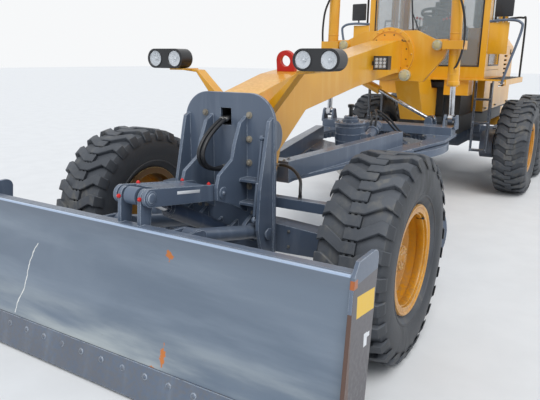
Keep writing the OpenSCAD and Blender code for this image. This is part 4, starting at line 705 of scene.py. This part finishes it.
def lights():
    bowls, glasses, bezels = bmesh.new(), bmesh.new(), bmesh.new()
    for x in (-lampShape["x"], lampShape["x"]):
        for d in (-lampShape["apart"], lampShape["apart"]):
            centre = place(x + d, lampShape["y"], lampShape["z"])
            r = lampShape["radius"]
            spun(bowls, [(-0.0295, 0.0), (-0.0292, 0.016), (-0.025, 0.034), (-0.015, 0.048),
                         (-0.004, r - 0.002), (-0.003, r - 0.004), (-0.027, 0.012), (-0.028, 0.0)],
                 (0, -1, 0), centre, 32)
            dome(bowls, centre + Vector((0, 0.018, 0)), (0, -1, 0), 0.011, 0.016)
            spun(glasses, [(-0.005, 0.0), (-0.005, r - 0.003), (-0.001, r - 0.002), (0.003, 0.046),
                           (0.006, 0.03), (0.0075, 0.0)], (0, -1, 0), centre, 32)
            spun(bezels, [(-0.006, r - 0.0015), (0.0005, r - 0.003), (0.004, r + 0.001), (0.003, r + 0.006),
                          (-0.001, r + 0.008), (-0.001, r + 0.001), (-0.006, r - 0.0015)], (0, -1, 0), centre,
                 32)
    # the lamp bowls in white: painted reflection
    piece("lamp_reflectors", bowls, "front", "chrome_rod", reflector, sharp=60)
    piece("lamp_lenses", glasses, "front", "window_glass", lensGlass, sharp=60)
    piece("lamp_bezels", bezels, "front", "lamp_body", sharp=50)

    frames, diodes, panes = bmesh.new(), bmesh.new(), bmesh.new()
    for side in (-1, 1):
        x0, x1 = sorted((side * 0.178, side * 0.314))
        for low, high in (((x0, 1.98, 1.796), (x1, 1.9905, 1.804)), ((x0, 1.98, 1.906), (x1, 1.9905, 1.914)),
                          ((x0, 1.98, 1.796), (x0 + 0.008, 1.9905, 1.914)),
                          ((x1 - 0.008, 1.98, 1.796), (x1, 1.9905, 1.914))):
            block(frames, low, high, 0.002)
        for i in range(3):
            for k in range(3):
                spot = place(x0 + 0.028 + 0.04 * i, 1.9895, 1.822 + 0.033 * k)
                drum(diodes, spot, (0, -1, 0), 0.006, 0.014, steps=20, soft=0.001)
                dome(diodes, spot + Vector((0, -0.003, 0)), (0, -1, 0), 0.006, 0.004)
        block(panes, (x0 + 0.007, 1.982, 1.803), (x1 - 0.007, 1.984, 1.907))
        for k in range(7):
            block(frames, (x0 + 0.006, 2.0795, 1.8 + 0.017 * k), (x1 - 0.006, 2.092, 1.806 + 0.017 * k),
                  0.001)
    piece("work_lamp_frames", frames, "front", "lamp_body")
    piece("work_lamp_diodes", diodes, "front", "chrome_rod", tagWhite, sharp=50)
    piece("work_lamp_panes", panes, "front", "window_glass", lensGlass)


discShape = {"y": 2.8745, "z": 1.945, "notches": 0.21, "bolts": 0.262}
liftHose = [(0.705, 2.868, 2.62), (0.72, 2.84, 2.56), (0.775, 2.83, 2.42), (0.808, 2.85, 2.25),
            (0.812, 2.86, 2.1), (0.795, 2.86, 1.95), (0.762, 2.86, 1.84), (0.735, 2.875, 1.8)]


def saddleDetails():
    bm = bmesh.new()
    for side in (-1, 1):
        spot = place(side * 0.54, 2.853, 2.04)
        drum(bm, spot, (0, -1, 0), 0.016, 0.054, steps=48, soft=0.004)
        drum(bm, spot + Vector((0, -0.009, 0)), (0, -1, 0), 0.006, 0.036, steps=40, soft=0.002)
        boltRing(bm, spot + Vector((0, -0.008, 0)), (0, -1, 0), 6, 0.045, "xz", 0.006, 30)
    spot = place(0.205, 2.848, 1.72)
    drum(bm, spot + Vector((0, 0.02, 0)), (0, -1, 0), 0.06, 0.062, steps=48, soft=0.004)
    drum(bm, spot + Vector((0, -0.012, 0)), (0, -1, 0), 0.01, 0.042, steps=40, soft=0.002)
    boltRing(bm, spot + Vector((0, -0.0095, 0)), (0, -1, 0), 8, 0.052, "xz", 0.006)
    piece("trunnion_covers", bm, "front", "yellow_paint", paleCast)

    bm = bmesh.new()
    # black marks for the notches and holes of the disc: painted shade
    for x in (0.175, -0.175):
        for z in (2.083, 1.76):
            block(bm, (x - 0.02, 2.8742, z - 0.005), (x + 0.02, 2.8752, z + 0.005))
    centre = place(0, discShape["y"], discShape["z"])
    for step in ring(12, discShape["notches"], "xz", 15):
        drum(bm, centre + step, (0, -1, 0), 0.002, 0.008, steps=16)
    piece("disc_notch_shade", bm, "front", "black_paint", trimBlack)
    angles = [radians(angle) for angle in (0, 60, 75, 105, 120, 180)]
    reach = discShape["bolts"]
    spots = [(reach * cos(a), 2.865, discShape["z"] + reach * sin(a)) for a in angles]
    bolts("disc_bolts", spots, (0, -1, 0), 0.011, "front", "yellow_paint", finishes["yellow_paint"])

    for name, side in sides:
        pipes("lift_hose_" + name, [flip(side, liftHose)], 0.012, "lift_barrel_" + name, "hose_rubber")
    for name, side in sides:
        bm = bmesh.new()
        top, foot = place(side * 0.71, 2.93, 2.04), place(side * 0.73, 2.942, 1.27)
        way = (foot - top).normalized()
        drum(bm, top + way * 0.395, way, 0.05, 0.066, steps=48, soft=0.006)
        drum(bm, top + way * 0.423, way, 0.012, 0.05, steps=40, soft=0.003)
        drum(bm, top - way * 0.872, way, 0.03, 0.066, steps=48, soft=0.006)
        for z in (0.1, -0.12, 0.3):
            drum(bm, top + way * z, way, 0.012, 0.0625, steps=48, soft=0.002)
        drum(bm, top + way * 0.245 + Vector((side * 0.03, -0.05, 0)), (side * 0.4, -1, 0), 0.05, 0.016,
             steps=6, soft=0.002)
        piece("lift_collars_" + name, bm, "lift_barrel_" + name, "yellow_paint")


drawShape = {"slope": radians(2.5), "ball": (0.33, 1.03), "down": 0.05, "circle": 2.17, "drive": 1.582,
             "motor": (0.262, 0.2, 0.14)}


def onDrawbar(x, y, z):  # a point in the drawbar's own measures, from below its ball
    across, up = sin(drawShape["slope"]), cos(drawShape["slope"])
    z -= drawShape["down"]
    return (x, drawShape["ball"][0] + y * up - z * across, drawShape["ball"][1] + y * across + z * up)


def circleDrive():
    up = Vector((0, -sin(drawShape["slope"]), cos(drawShape["slope"])))
    bm = bmesh.new()
    centre = place(*onDrawbar(0, drawShape["drive"], 0.22))
    drum(bm, centre + up * 0.004, up, 0.02, 0.158, steps=56, soft=0.004)
    boltRing(bm, centre + up * 0.014, up, 12, 0.138, "xy", 0.01)
    drum(bm, centre + up * 0.055, up, 0.03, 0.068, steps=40, soft=0.005)
    boltRing(bm, centre + up * 0.068, up, 8, 0.055, "xy", 0.008)
    for z in (0.05, 0.12, 0.19):
        drum(bm, place(*onDrawbar(0, drawShape["drive"], z)), up, 0.01, 0.1525, steps=56, soft=0.003)
    piece("drive_cover", bm, "drawbar", "slate_paint")
    bm = bmesh.new()
    drum(bm, centre + up * 0.12, up, 0.12, 0.02, steps=24, soft=0.003)
    drum(bm, centre + up * 0.17, up, 0.03, 0.032, steps=24, soft=0.004)
    piece("drive_swivel", bm, "drawbar", "black_paint", trimBlack)
    tilt = radians(70)
    motor = [place(*onDrawbar(0.17, 1.622 + d * sin(tilt),
                              0.075 + d * cos(tilt))) for d in drawShape["motor"]]
    way = (motor[0] - motor[2]).normalized()
    bm = bmesh.new()
    for spot, depth, radius in zip(motor, (0.02, 0.03, 0.02), (0.056, 0.058, 0.062)):
        drum(bm, spot, way, depth, radius, steps=40, soft=0.004)
    for k in range(6):
        turn = Matrix.Rotation(radians(60 * k), 4, way)
        bolt(bm, motor[0] + way * 0.01 + turn @ (way.orthogonal().normalized() * 0.044), way, 0.007)
    piece("drive_motor_flanges", bm, "drawbar", "slate_paint")
    hoses = []
    for x, reach in ((0.145, 0.0), (0.195, 0.03)):
        hoses.append([onDrawbar(x, 1.75, 0.17), onDrawbar(x, 1.78, 0.25 + reach),
                      onDrawbar(x - 0.05, 1.9, 0.29 + reach), onDrawbar(x + 0.03, 2.05, 0.22),
                      onDrawbar(x + 0.12, 2.2, 0.06), onDrawbar(x + 0.2, 2.28, 0.012)])
    pipes("drive_hoses", hoses, 0.011, "drawbar", "hose_rubber")
    bm = bmesh.new()
    for side in (-1, 1):
        for y in (0.25, 0.32):
            bolt(bm, place(*onDrawbar(side * 0.1, y - 0.17, 0.14)), up, 0.014)
        for y in (1.9, 2.4):
            for x in (0.5, 0.62):
                bolt(bm, place(*onDrawbar(side * x, y, 0.0)), up, 0.014)
    piece("drawbar_bolts", bm, "drawbar", "slate_paint", boltSteel)


hubX = 1.095


def wheels():
    for wheel, side in wheelSides.items():
        hub = middle("rim_" + wheel)
        hub.x = side * hubX
        way = Vector((side, 0, 0))
        bm = bmesh.new()
        spun(bm, [(0.165, 0.3015), (0.165, 0.292), (0.150, 0.288), (0.143, 0.291), (0.12, 0.293),
                  (0.112, 0.3), (0.112, 0.3035)], way, hub, 72)
        spun(bm, [(0.1802, 0.352), (0.1865, 0.35), (0.188, 0.343), (0.184, 0.334), (0.1802, 0.331)], way, hub,
             72)
        piece("rim_ring_" + wheel, bm, "wheel_" + wheel, "yellow_paint", rimPaint, sharp=40)
        bm = bmesh.new()
        for step in ring(12, 0.165, "yz", 15):
            bolt(bm, hub + way * 0.032 + step, way, 0.017)
            drum(bm, hub + way * 0.048 + step, way, 0.014, 0.008, steps=12)
        piece("wheel_nuts_" + wheel, bm, "wheel_" + wheel, "chrome_rod", boltSteel)
        bm = bmesh.new()
        drum(bm, hub + way * 0.111, way, 0.01, 0.078, steps=48, soft=0.003)
        boltRing(bm, hub + way * 0.115, way, 8, 0.066, "yz", 0.008)
        dome(bm, hub + way * 0.12, way, 0.03, 0.014)
        piece("hub_cover_" + wheel, bm, "wheel_" + wheel, "yellow_paint", rimPaint)
        bm = bmesh.new()
        # black discs for the holes in the rim's disc: painted shade; the small rod is the valve
        for step in ring(6, 0.235, "yz"):
            drum(bm, hub + way * 0.0215 + step, way, 0.004, 0.026, steps=28, soft=0.001)
        drum(bm, hub + way * 0.155 + Vector((0, 0.19, 0.225)), way, 0.05, 0.007, steps=12, soft=0.001)
        piece("rim_hole_shade_and_valve_" + wheel, bm, "wheel_" + wheel, "black_paint", trimBlack)


cabShape = {"half": 0.78, "front": 4.23, "back": 5.56, "low": 1.82, "head": 3.22, "door": (4.415, 5.085),
            "sill": 1.83, "doorHead": 3.155, "rearSide": (5.24, 5.47), "rearHalf": 0.66, "rearLow": 2.34}


railRoutes = {
    "hand": ([(0.785, 4.292, 1.98), (0.835, 4.292, 1.99), (0.838, 4.292, 2.05), (0.838, 4.292, 2.7),
              (0.835, 4.292, 2.76), (0.785, 4.292, 2.77)],
             [(1.02, 5.48, 1.66), (1.02, 5.48, 1.75), (1.02, 5.48, 2.4), (0.98, 5.48, 2.46),
              (0.86, 5.48, 2.46), (0.785, 5.48, 2.45)]),
    "front": [(1.0, 4.192, 1.6), (1.035, 4.188, 1.75), (1.16, 4.188, 2.22), (1.14, 4.19, 2.33),
              (1.0, 4.21, 2.36), (0.785, 4.24, 2.35)]}


# A window's gasket on a wall across x or y
def rubberFrame(bm, across, at, width, height, bar=0.016, proud=0.005):
    (u0, u1), (z0, z1) = width, height
    d0, d1 = sorted((at - proud * 0.6, at + proud))
    if proud < 0:
        d0, d1 = at + proud, at - proud * 0.6
    for low, high in (((u0 - bar, z0 - bar), (u1 + bar, z0)), ((u0 - bar, z1), (u1 + bar, z1 + bar)),
                      ((u0 - bar, z0), (u0, z1)), ((u1, z0), (u1 + bar, z1))):
        ends = ((low[0], d0, low[1]), (high[0], d1, high[1]))
        if across == "x":
            ends = ((d0, low[0], low[1]), (d1, high[0], high[1]))
        block(bm, ends[0], ends[1], 0.0015)


def cabOutside():
    s = cabShape
    bm = bmesh.new()
    rubberFrame(bm, "y", s["front"], (-0.69, 0.69), (s["low"], s["head"]), proud=-0.005)
    rubberFrame(bm, "y", s["back"], (-s["rearHalf"], s["rearHalf"]), (s["rearLow"], s["head"]))
    for side in (-1, 1):
        rubberFrame(bm, "x", side * s["half"], s["rearSide"], (2.15, s["head"]), proud=side * 0.005)
    piece("window_gaskets", bm, "rear", "black_paint", trimBlack)
    for name, side in sides:
        bm = bmesh.new()
        rubberFrame(bm, "x", side * s["half"], s["door"], (s["sill"], s["doorHead"]), proud=side * 0.005)
        x = side * 0.79
        block(bm, (x - 0.012, 4.372, 2.05), (x + 0.012, 4.402, 2.24), 0.005)
        drum(bm, place(side * 0.788, 4.387, 2.0), (side, 0, 0), 0.018, 0.017, steps=24, soft=0.002)
        piece("door_trim_" + name, bm, "door_" + name, "black_paint", trimBlack)

    for name, side in sides:
        rails = [flip(side, route) for route in railRoutes["hand"]]
        pipes("hand_rails_" + name, rails, 0.014, "rear", "black_paint", finish=trimBlack, steps=8, sides=4)
        rails = [flip(side, railRoutes["front"])]
        pipes("front_rail_" + name, rails, 0.016, "rear", "slate_paint", steps=8, sides=4)
        bm = bmesh.new()
        turn = Matrix.Rotation(radians(6 * side), 4, "Z")
        sideBlock(bm, side, (0.835, 4.215, 2.4), (1.045, 4.245, 2.62), 0.012, turn)
        drum(bm, place(side * 0.94, 4.222, 2.38), (0, 0, 1), 0.06, 0.01, steps=16)
        piece("mirror_" + name, bm, "rear", "lamp_body")
        bm = bmesh.new()
        sideBlock(bm, side, (0.847, 4.2455, 2.412), (1.033, 4.2475, 2.608), 0.0008, turn)
        piece("mirror_glass_" + name, bm, "rear", "chrome_rod", brightMetal)
        bm = bmesh.new()
        sideBlock(bm, side, (0.784, 4.232, 1.96), (1.015, 4.236, 2.335), 0.0015)
        piece("wind_plate_" + name, bm, "rear", "yellow_paint")

    bm = bmesh.new()
    drum(bm, place(0.12, 4.222, 1.795), (0, -1, 0), 0.03, 0.022, steps=32, soft=0.004)
    start, end = place(0.12, 4.214, 1.795), place(-0.2, 4.226, 2.5)
    rod(bm, start, end, 0.007)
    block(bm, (-0.208, 4.236, 2.16), (-0.19, 4.248, 2.86), 0.003, Matrix.Rotation(radians(-6), 4, "Y"))
    drum(bm, place(-0.2, 4.232, 2.5), (0, 1, 0), 0.022, 0.006, steps=12)
    piece("wiper", bm, "rear", "black_paint", trimBlack)

    bm = bmesh.new()
    for side in (-1, 1):
        x0, x1 = sorted((side * 0.8, side * 1.036))
        block(bm, (x0, 4.215, 1.655), (x1, 5.58, 1.6585), 0.001)
        for i in range(6):
            for k in range(34):
                x = x0 + 0.02 + 0.039 * i + (0.0195 if k % 2 else 0)
                if x < x1 - 0.01:
                    drum(bm, place(x, 4.235 + 0.04 * k, 1.659), (0, 0, 1), 0.002, 0.008, steps=8)
    piece("deck_treads", bm, "rear", "black_paint", trimBlack)
    bm = bmesh.new()
    for side in (-1, 1):
        for z in (0.694, 1.06, 1.37):
            for k in range(9):
                x = side * 0.74 - 0.084 + 0.021 * k
                block(bm, (x - 0.004, 4.491, z + 0.0245), (x + 0.004, 4.559, z + 0.0285), 0.001)
    piece("step_grips", bm, "rear", "slate_paint", boltSteel)
    bm = bmesh.new()
    for side in (-1, 1):
        for x, out in ((0.63, 1), (0.85, -1)):
            sideBlock(bm, side, (x, 4.4862, 0.6955), (x + out * 0.03, 4.4935, 1.6), 0.0015)
        for z in (0.72, 1.085, 1.395):
            for x in (0.645, 0.835):
                bolt(bm, place(side * x, 4.4862, z), (0, -1, 0), 0.008)
    piece("ladder_flanges", bm, "rear", "slate_paint", ladderPaint)


seatShape = {"y": 5.05, "z": 1.7003}


def cushion(name, low, high, thin, along, channels, flat):
    low, high = place(*low), place(*high)
    centre, half = (low + high) / 2, (high - low) / 2
    other = 3 - thin - along
    bm = bmesh.new()
    bmesh.ops.create_cube(bm, size=2.0)
    bmesh.ops.subdivide_edges(bm, edges=bm.edges[:], cuts=31, use_grid_fill=True)

    def shaped(a, b, t):
        crown = (1 - a ** 4) * (1 - b ** 4)
        if t * flat > 0:
            lift = t * 0.72
        else:
            lift = t * (0.6 + 0.4 * crown ** 0.6)
            for spot in channels:
                lift *= 1 - 0.2 * exp(-((a - spot) / 0.05) ** 2) * min(1.0, crown * 2)
            lift *= 1 - 0.16 * exp(-((max(abs(a), abs(b)) - 0.78) / 0.045) ** 2)
        pull = 1 - 0.05 * t * t
        spot = [0.0, 0.0, 0.0]
        spot[along] = a * (1 - 0.045 * (1 - b * b)) * pull
        spot[other] = b * (1 - 0.045 * (1 - a * a)) * pull
        spot[thin] = lift
        return centre + Vector([s * h for s, h in zip(spot, half)])

    for vert in bm.verts:
        vert.co = shaped(vert.co[along], vert.co[other], vert.co[thin])
    made = piece(name, bm, "rear", "seat_vinyl", sharp=80)
    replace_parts(made, "seat")
    ring = [(1, b) for b in (-0.9, -0.5, 0, 0.5, 0.9)] + [(a, 1) for a in (0.9, 0.5, 0, -0.5, -0.9)]
    ring += [(-1, b) for b in (0.9, 0.5, 0, -0.5, -0.9)] + [(a, -1) for a in (-0.9, -0.5, 0, 0.5, 0.9)]
    route = [shaped(a * 0.985, b * 0.985, -0.55 * flat) for a, b in ring + ring[:1]]
    pipes(name + "_welt", [[(p.x, p.y - axleY, p.z) for p in route]], 0.0045, "rear", "seat_vinyl",
          finish=trimBlack, steps=4)


def cabInside():
    y, z = seatShape["y"], seatShape["z"]
    cushion("seat_cushion", (-0.25, y - 0.25, z + 0.335), (0.25, y + 0.2, z + 0.47), 2, 0, (-0.3, 0.3), -1)
    cushion("seat_back", (-0.24, y + 0.165, z + 0.44), (0.24, y + 0.28, z + 0.93), 1, 0, (-0.3, 0.3), 1)
    cushion("head_rest", (-0.14, y + 0.185, z + 0.93), (0.14, y + 0.275, z + 1.05), 1, 0, (), 1)
    bm = bmesh.new()
    for k in range(6):
        size = 0.15 - 0.012 * (k % 2)
        block(bm, (-size, y - size, z + 0.06 + 0.04 * k), (size, y + size + 0.04, z + 0.1 + 0.04 * k), 0.008)
    block(bm, (-0.15, y - 0.15, z), (0.15, y + 0.2, z + 0.07), 0.006)
    block(bm, (-0.24, y - 0.24, z + 0.3), (0.24, y + 0.22, z + 0.352), 0.01)
    block(bm, (-0.2, y + 0.24, z + 0.34), (0.2, y + 0.279, z + 1.0), 0.008)
    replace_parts(piece("seat_stand", bm, "rear", "seat_vinyl", finishes["cab_plastic"]), "seat")
    bm = bmesh.new()
    for side in (-1, 1):
        sideBlock(bm, side, (0.255, y - 0.15, z + 0.6), (0.31, y + 0.2, z + 0.65), 0.018)
        sideBlock(bm, side, (0.255, y + 0.16, z + 0.42), (0.31, y + 0.21, z + 0.62), 0.008)
        sideBlock(bm, side, (0.2, y + 0.17, z + 0.4), (0.3, y + 0.2, z + 0.44), 0.005)
    block(bm, (-0.72, 4.3, z), (0.72, 5.48, z + 0.006), 0.002)
    piece("arm_rests_and_mat", bm, "rear", "seat_vinyl", trimBlack)

    bars, knobs = bmesh.new(), bmesh.new()
    for side in (-1, 1):
        sideBlock(bars, side, (0.055, 4.53, z + 0.5), (0.26, 4.6, z + 0.56), 0.006)
        for k in range(4):
            foot = place(side * (0.1 + 0.045 * k), 4.565, z + 0.55)
            top = foot + Vector((side * 0.012, 0.05, 0.16 + 0.01 * k))
            rod(bars, foot, top, 0.006)
            dome(knobs, top, (0, 0, 1), 0.018, 0.02)
            drum(bars, foot + Vector((0, 0, 0.012)), (0, 0, 1), 0.03, 0.016, 0.008, steps=16)
        pedalTurn = Matrix.Rotation(radians(-25), 4, "X")
        sideBlock(bars, side, (0.13, 4.31, z + 0.03), (0.21, 4.33, z + 0.16), 0.004, pedalTurn)
    block(bars, (-0.13, 4.49, z + 0.62), (0.13, 4.53, z + 0.74), 0.01)
    piece("control_levers", bars, "rear", "cab_plastic")
    piece("lever_knobs", knobs, "rear", "cab_plastic", capRed, sharp=60)
    bm = bmesh.new()
    for x in (-0.07, 0.0, 0.07):
        drum(bm, place(x, 4.5315, z + 0.68), (0, 1, 0), 0.006, 0.026, steps=32, soft=0.001)
    piece("dial_faces", bm, "rear", "cab_plastic", tagWhite)


tandemY = 6.219  # the middle of the tandem
# Filler caps on the hood: place, height, radius and sides
capStack = (((-0.25, 7.45, 2.287), 0.022, 0.06, 40), ((-0.25, 7.45, 2.305), 0.026, 0.045, 12),
            ((0.2, 7.62, 2.286), 0.02, 0.05, 40))


def engineBody():
    bm = bmesh.new()
    for side in (-1, 1):
        for y in (5.9, 6.45, 7.6):
            sideBlock(bm, side, (0.533, y - 0.02, 1.98), (0.549, y + 0.02, 2.07), 0.004)
        for y in (5.8, 6.6, 7.65):
            drum(bm, place(side * 0.547, y, 1.172), (0, 1, 0), 0.09, 0.011, steps=16, soft=0.001)
        for y in (5.9, 6.45, 7.6):
            drum(bm, place(side * 0.551, y, 2.0), (side, 0, 0), 0.01, 0.014, steps=20, soft=0.002)
    piece("hood_latches", bm, "rear", "black_paint", trimBlack)
    bm = bmesh.new()
    for spot, depth, radius, steps in capStack:
        drum(bm, place(*spot), (0, 0, 1), depth, radius, steps=steps, soft=0.004)
    for z in (2.42, 2.83):
        drum(bm, place(0.23, 6.23, z), (0, 0, 1), 0.022, 0.0785, steps=48, soft=0.003)
        block(bm, (0.295, 6.22, z - 0.011), (0.325, 6.24, z + 0.011), 0.002)
    piece("caps_and_clamps", bm, "rear", "black_paint")
    spots = [(x, 7.85, z) for x in (-0.505, 0.505) for z in (1.25, 1.6, 1.95)]
    spots += [(x, 7.85, 2.17) for x in (-0.35, 0, 0.35)]
    bolts("hood_bolts", spots, (0, 1, 0), 0.009, "rear", slot="yellow_paint")
    bm = bmesh.new()
    for side in (-1, 1):
        for k in range(7):
            x = side * 0.335 - 0.06 + 0.02 * k
            block(bm, (x - 0.003, 8.0565, 1.126), (x + 0.003, 8.0585, 1.194), 0.0008)
    piece("lens_ribs", bm, "rear", "red_lens")

    bm = bmesh.new()
    for side in (-1, 1):
        spot = place(side * 0.792, tandemY, wheelZ)
        drum(bm, spot, (side, 0, 0), 0.016, 0.085, steps=48, soft=0.003)
        boltRing(bm, spot + Vector((side * 0.008, 0, 0)), (side, 0, 0), 8, 0.068, "yz", 0.009)
        for y in (5.85, 6.6):
            drum(bm, place(side * 0.7, y, 0.866), (0, 0, 1), 0.018, 0.03, steps=6, soft=0.002)
        for y in (5.45, 6.988):
            boltRing(bm, place(side * 0.61, y, wheelZ), (-side, 0, 0), 10, 0.13, "yz", 0.01)
        boltRing(bm, place(side * 0.1, tandemY, 0.73), (side, 0, 0), 12, 0.205, "yz", 0.009)
    piece("tandem_covers", bm, "rear", "slate_paint")


moldShape = {"radius": 0.415, "centre": -0.3635, "mid": -0.445, "shift": -0.06, "half": 1.955, "yaw": -53,
             "edgeBolts": 24, "boltReach": 0.403, "boltTurn": -38, "edgeThick": 0.011}


def moldboardTrim():
    s = moldShape
    whole = Matrix.Translation(place(0, *drawShape["ball"])) @ Matrix.Rotation(drawShape["slope"], 4, "X")
    whole = whole @ Matrix.Translation((0, drawShape["circle"], -drawShape["down"]))
    whole = whole @ Matrix.Rotation(radians(s["yaw"]), 4, "Z") @ Matrix.Translation((s["shift"], 0, 0))
    bm = bmesh.new()
    start = radians(-45.2)
    reach = s["radius"] - 0.0005
    y, z = s["centre"] + reach * cos(start), s["mid"] + reach * sin(start)
    for x0, x1 in ((-s["half"], -0.66), (-0.655, 0.65), (0.655, s["half"])):
        sheet = bmesh.new()
        ends = [sheet.verts.new((x, y, z)) for x in (x0, x1)]
        edge = sheet.edges.new(ends)
        bmesh.ops.spin(sheet, geom=ends + [edge], cent=(0, s["centre"], s["mid"]), axis=(1, 0, 0), steps=6,
                       angle=radians(12))
        for vert in doubled(sheet):
            away = Vector((0, vert.co.y - s["centre"], vert.co.z - s["mid"])).normalized()
            vert.co -= away * s["edgeThick"]
        mesh = bpy.data.meshes.new("edgeSheet")
        sheet.to_mesh(mesh)
        sheet.free()
        bm.from_mesh(mesh)
        bpy.data.meshes.remove(mesh)
    turn, reach = radians(s["boltTurn"]), s["boltReach"]
    way = Vector((0, -cos(turn), -sin(turn)))
    for k in range(s["edgeBolts"]):
        x = -1.9 + 3.8 * k / (s["edgeBolts"] - 1)
        spot = Vector((x, s["centre"] + reach * cos(turn), s["mid"] + reach * sin(turn)))
        drum(bm, spot, way, 0.008, 0.016, steps=16, soft=0.001)
    bmesh.ops.transform(bm, matrix=whole, verts=bm.verts[:])
    piece("moldboard_edges", bm, "moldboard", "slate_paint", boltSteel)


def hullSeams():  # small fixings of the front frame and axle
    bm = bmesh.new()
    for side in (-1, 1):
        for x, z in ((0.17, 0.75), (0.17, 0.6), (0.42, 0.62), (0.42, 0.73)):
            for face in (-1, 1):
                bolt(bm, place(side * x, face * 0.075, z), (0, face, 0), 0.012)
    piece("axle_bolts", bm, "front", "slate_paint", boltSteel)


blade()
nosePlate()
linkage()
lights()
print("front attachments made")
saddleDetails()
circleDrive()
wheels()
print("running gear made")
cabOutside()
cabInside()
print("cab made")
engineBody()
moldboardTrim()
hullSeams()
print("rear and moldboard made")

floorLook = {"colour": (0.80, 0.80, 0.79, 1), "second": (0.77, 0.77, 0.76, 1), "size": 160.0}
skyLook = {"white": (0.93, 0.94, 0.95, 1), "light": (0.80, 0.86, 0.95, 1), "strength": 0.73}
sunLook = {"energy": 1.7, "angle": 35, "from": (0.35, -0.45, 0.85)}


def studio():
    bm = bmesh.new()
    bmesh.ops.create_grid(bm, x_segments=1, y_segments=1, size=floorLook["size"] / 2)
    mesh = bpy.data.meshes.new("floor")
    bm.to_mesh(mesh)
    bm.free()
    made = Finish("floorFinish")
    speck = made.noise(3.0, 4.0)
    made.set(Base_Color=made.mix(made.fade(speck, 0.3, 0.7), floorLook["colour"], floorLook["second"]),
             Roughness=0.9)
    mesh.materials.append(made.material)
    added("floor", mesh)

    world = bpy.data.worlds.new("studio")
    bpy.context.scene.world = world
    world.use_nodes = True
    tree = world.node_tree
    path = tree.nodes.new("ShaderNodeLightPath")
    seen = Wire(tree, path.outputs["Is Camera Ray"]).top(Wire(tree, path.outputs["Is Glossy Ray"]))
    seen = seen.top(Wire(tree, path.outputs["Is Transmission Ray"]))
    both = tree.nodes.new("ShaderNodeMixShader")
    feed(tree, seen, both.inputs[0])
    for slot, colour, strength in ((1, "light", skyLook["strength"]), (2, "white", 1.0)):
        shown = tree.nodes.new("ShaderNodeBackground")
        feed(tree, skyLook[colour], shown.inputs["Color"])
        feed(tree, strength, shown.inputs["Strength"])
        tree.links.new(shown.outputs[0], both.inputs[slot])
    tree.links.new(both.outputs[0], tree.nodes["World Output"].inputs["Surface"])

    sun = bpy.data.lights.new("key", "SUN")
    sun.energy = sunLook["energy"]
    sun.angle = radians(sunLook["angle"])
    lamp = added("key", sun)
    lamp.rotation_euler = Vector(sunLook["from"]).to_track_quat("Z", "Y").to_euler()


view = {"place": (2.2215, -3.2823, 1.8975), "yaw": 31.36, "down": 14.38, "roll": 0.47,
        "focal": 555.89, "pictureWidth": 540, "sensor": 36}


def camera():
    data = bpy.data.cameras.new("camera")
    data.sensor_width = view["sensor"]
    data.lens = view["sensor"] * view["focal"] / view["pictureWidth"]
    made = added("camera", data)
    turn = Matrix.Rotation(radians(view["yaw"]), 4, "Z")
    turn = turn @ Matrix.Rotation(radians(90 - view["down"]), 4, "X")
    turn = turn @ Matrix.Rotation(radians(view["roll"]), 4, "Z")
    made.matrix_world = Matrix.Translation(place(*view["place"])) @ turn
    data.clip_end = 500
    bpy.context.scene.camera = made


studio()
camera()
bpy.context.scene.view_settings.view_transform = "Standard"
print("stage and camera set")
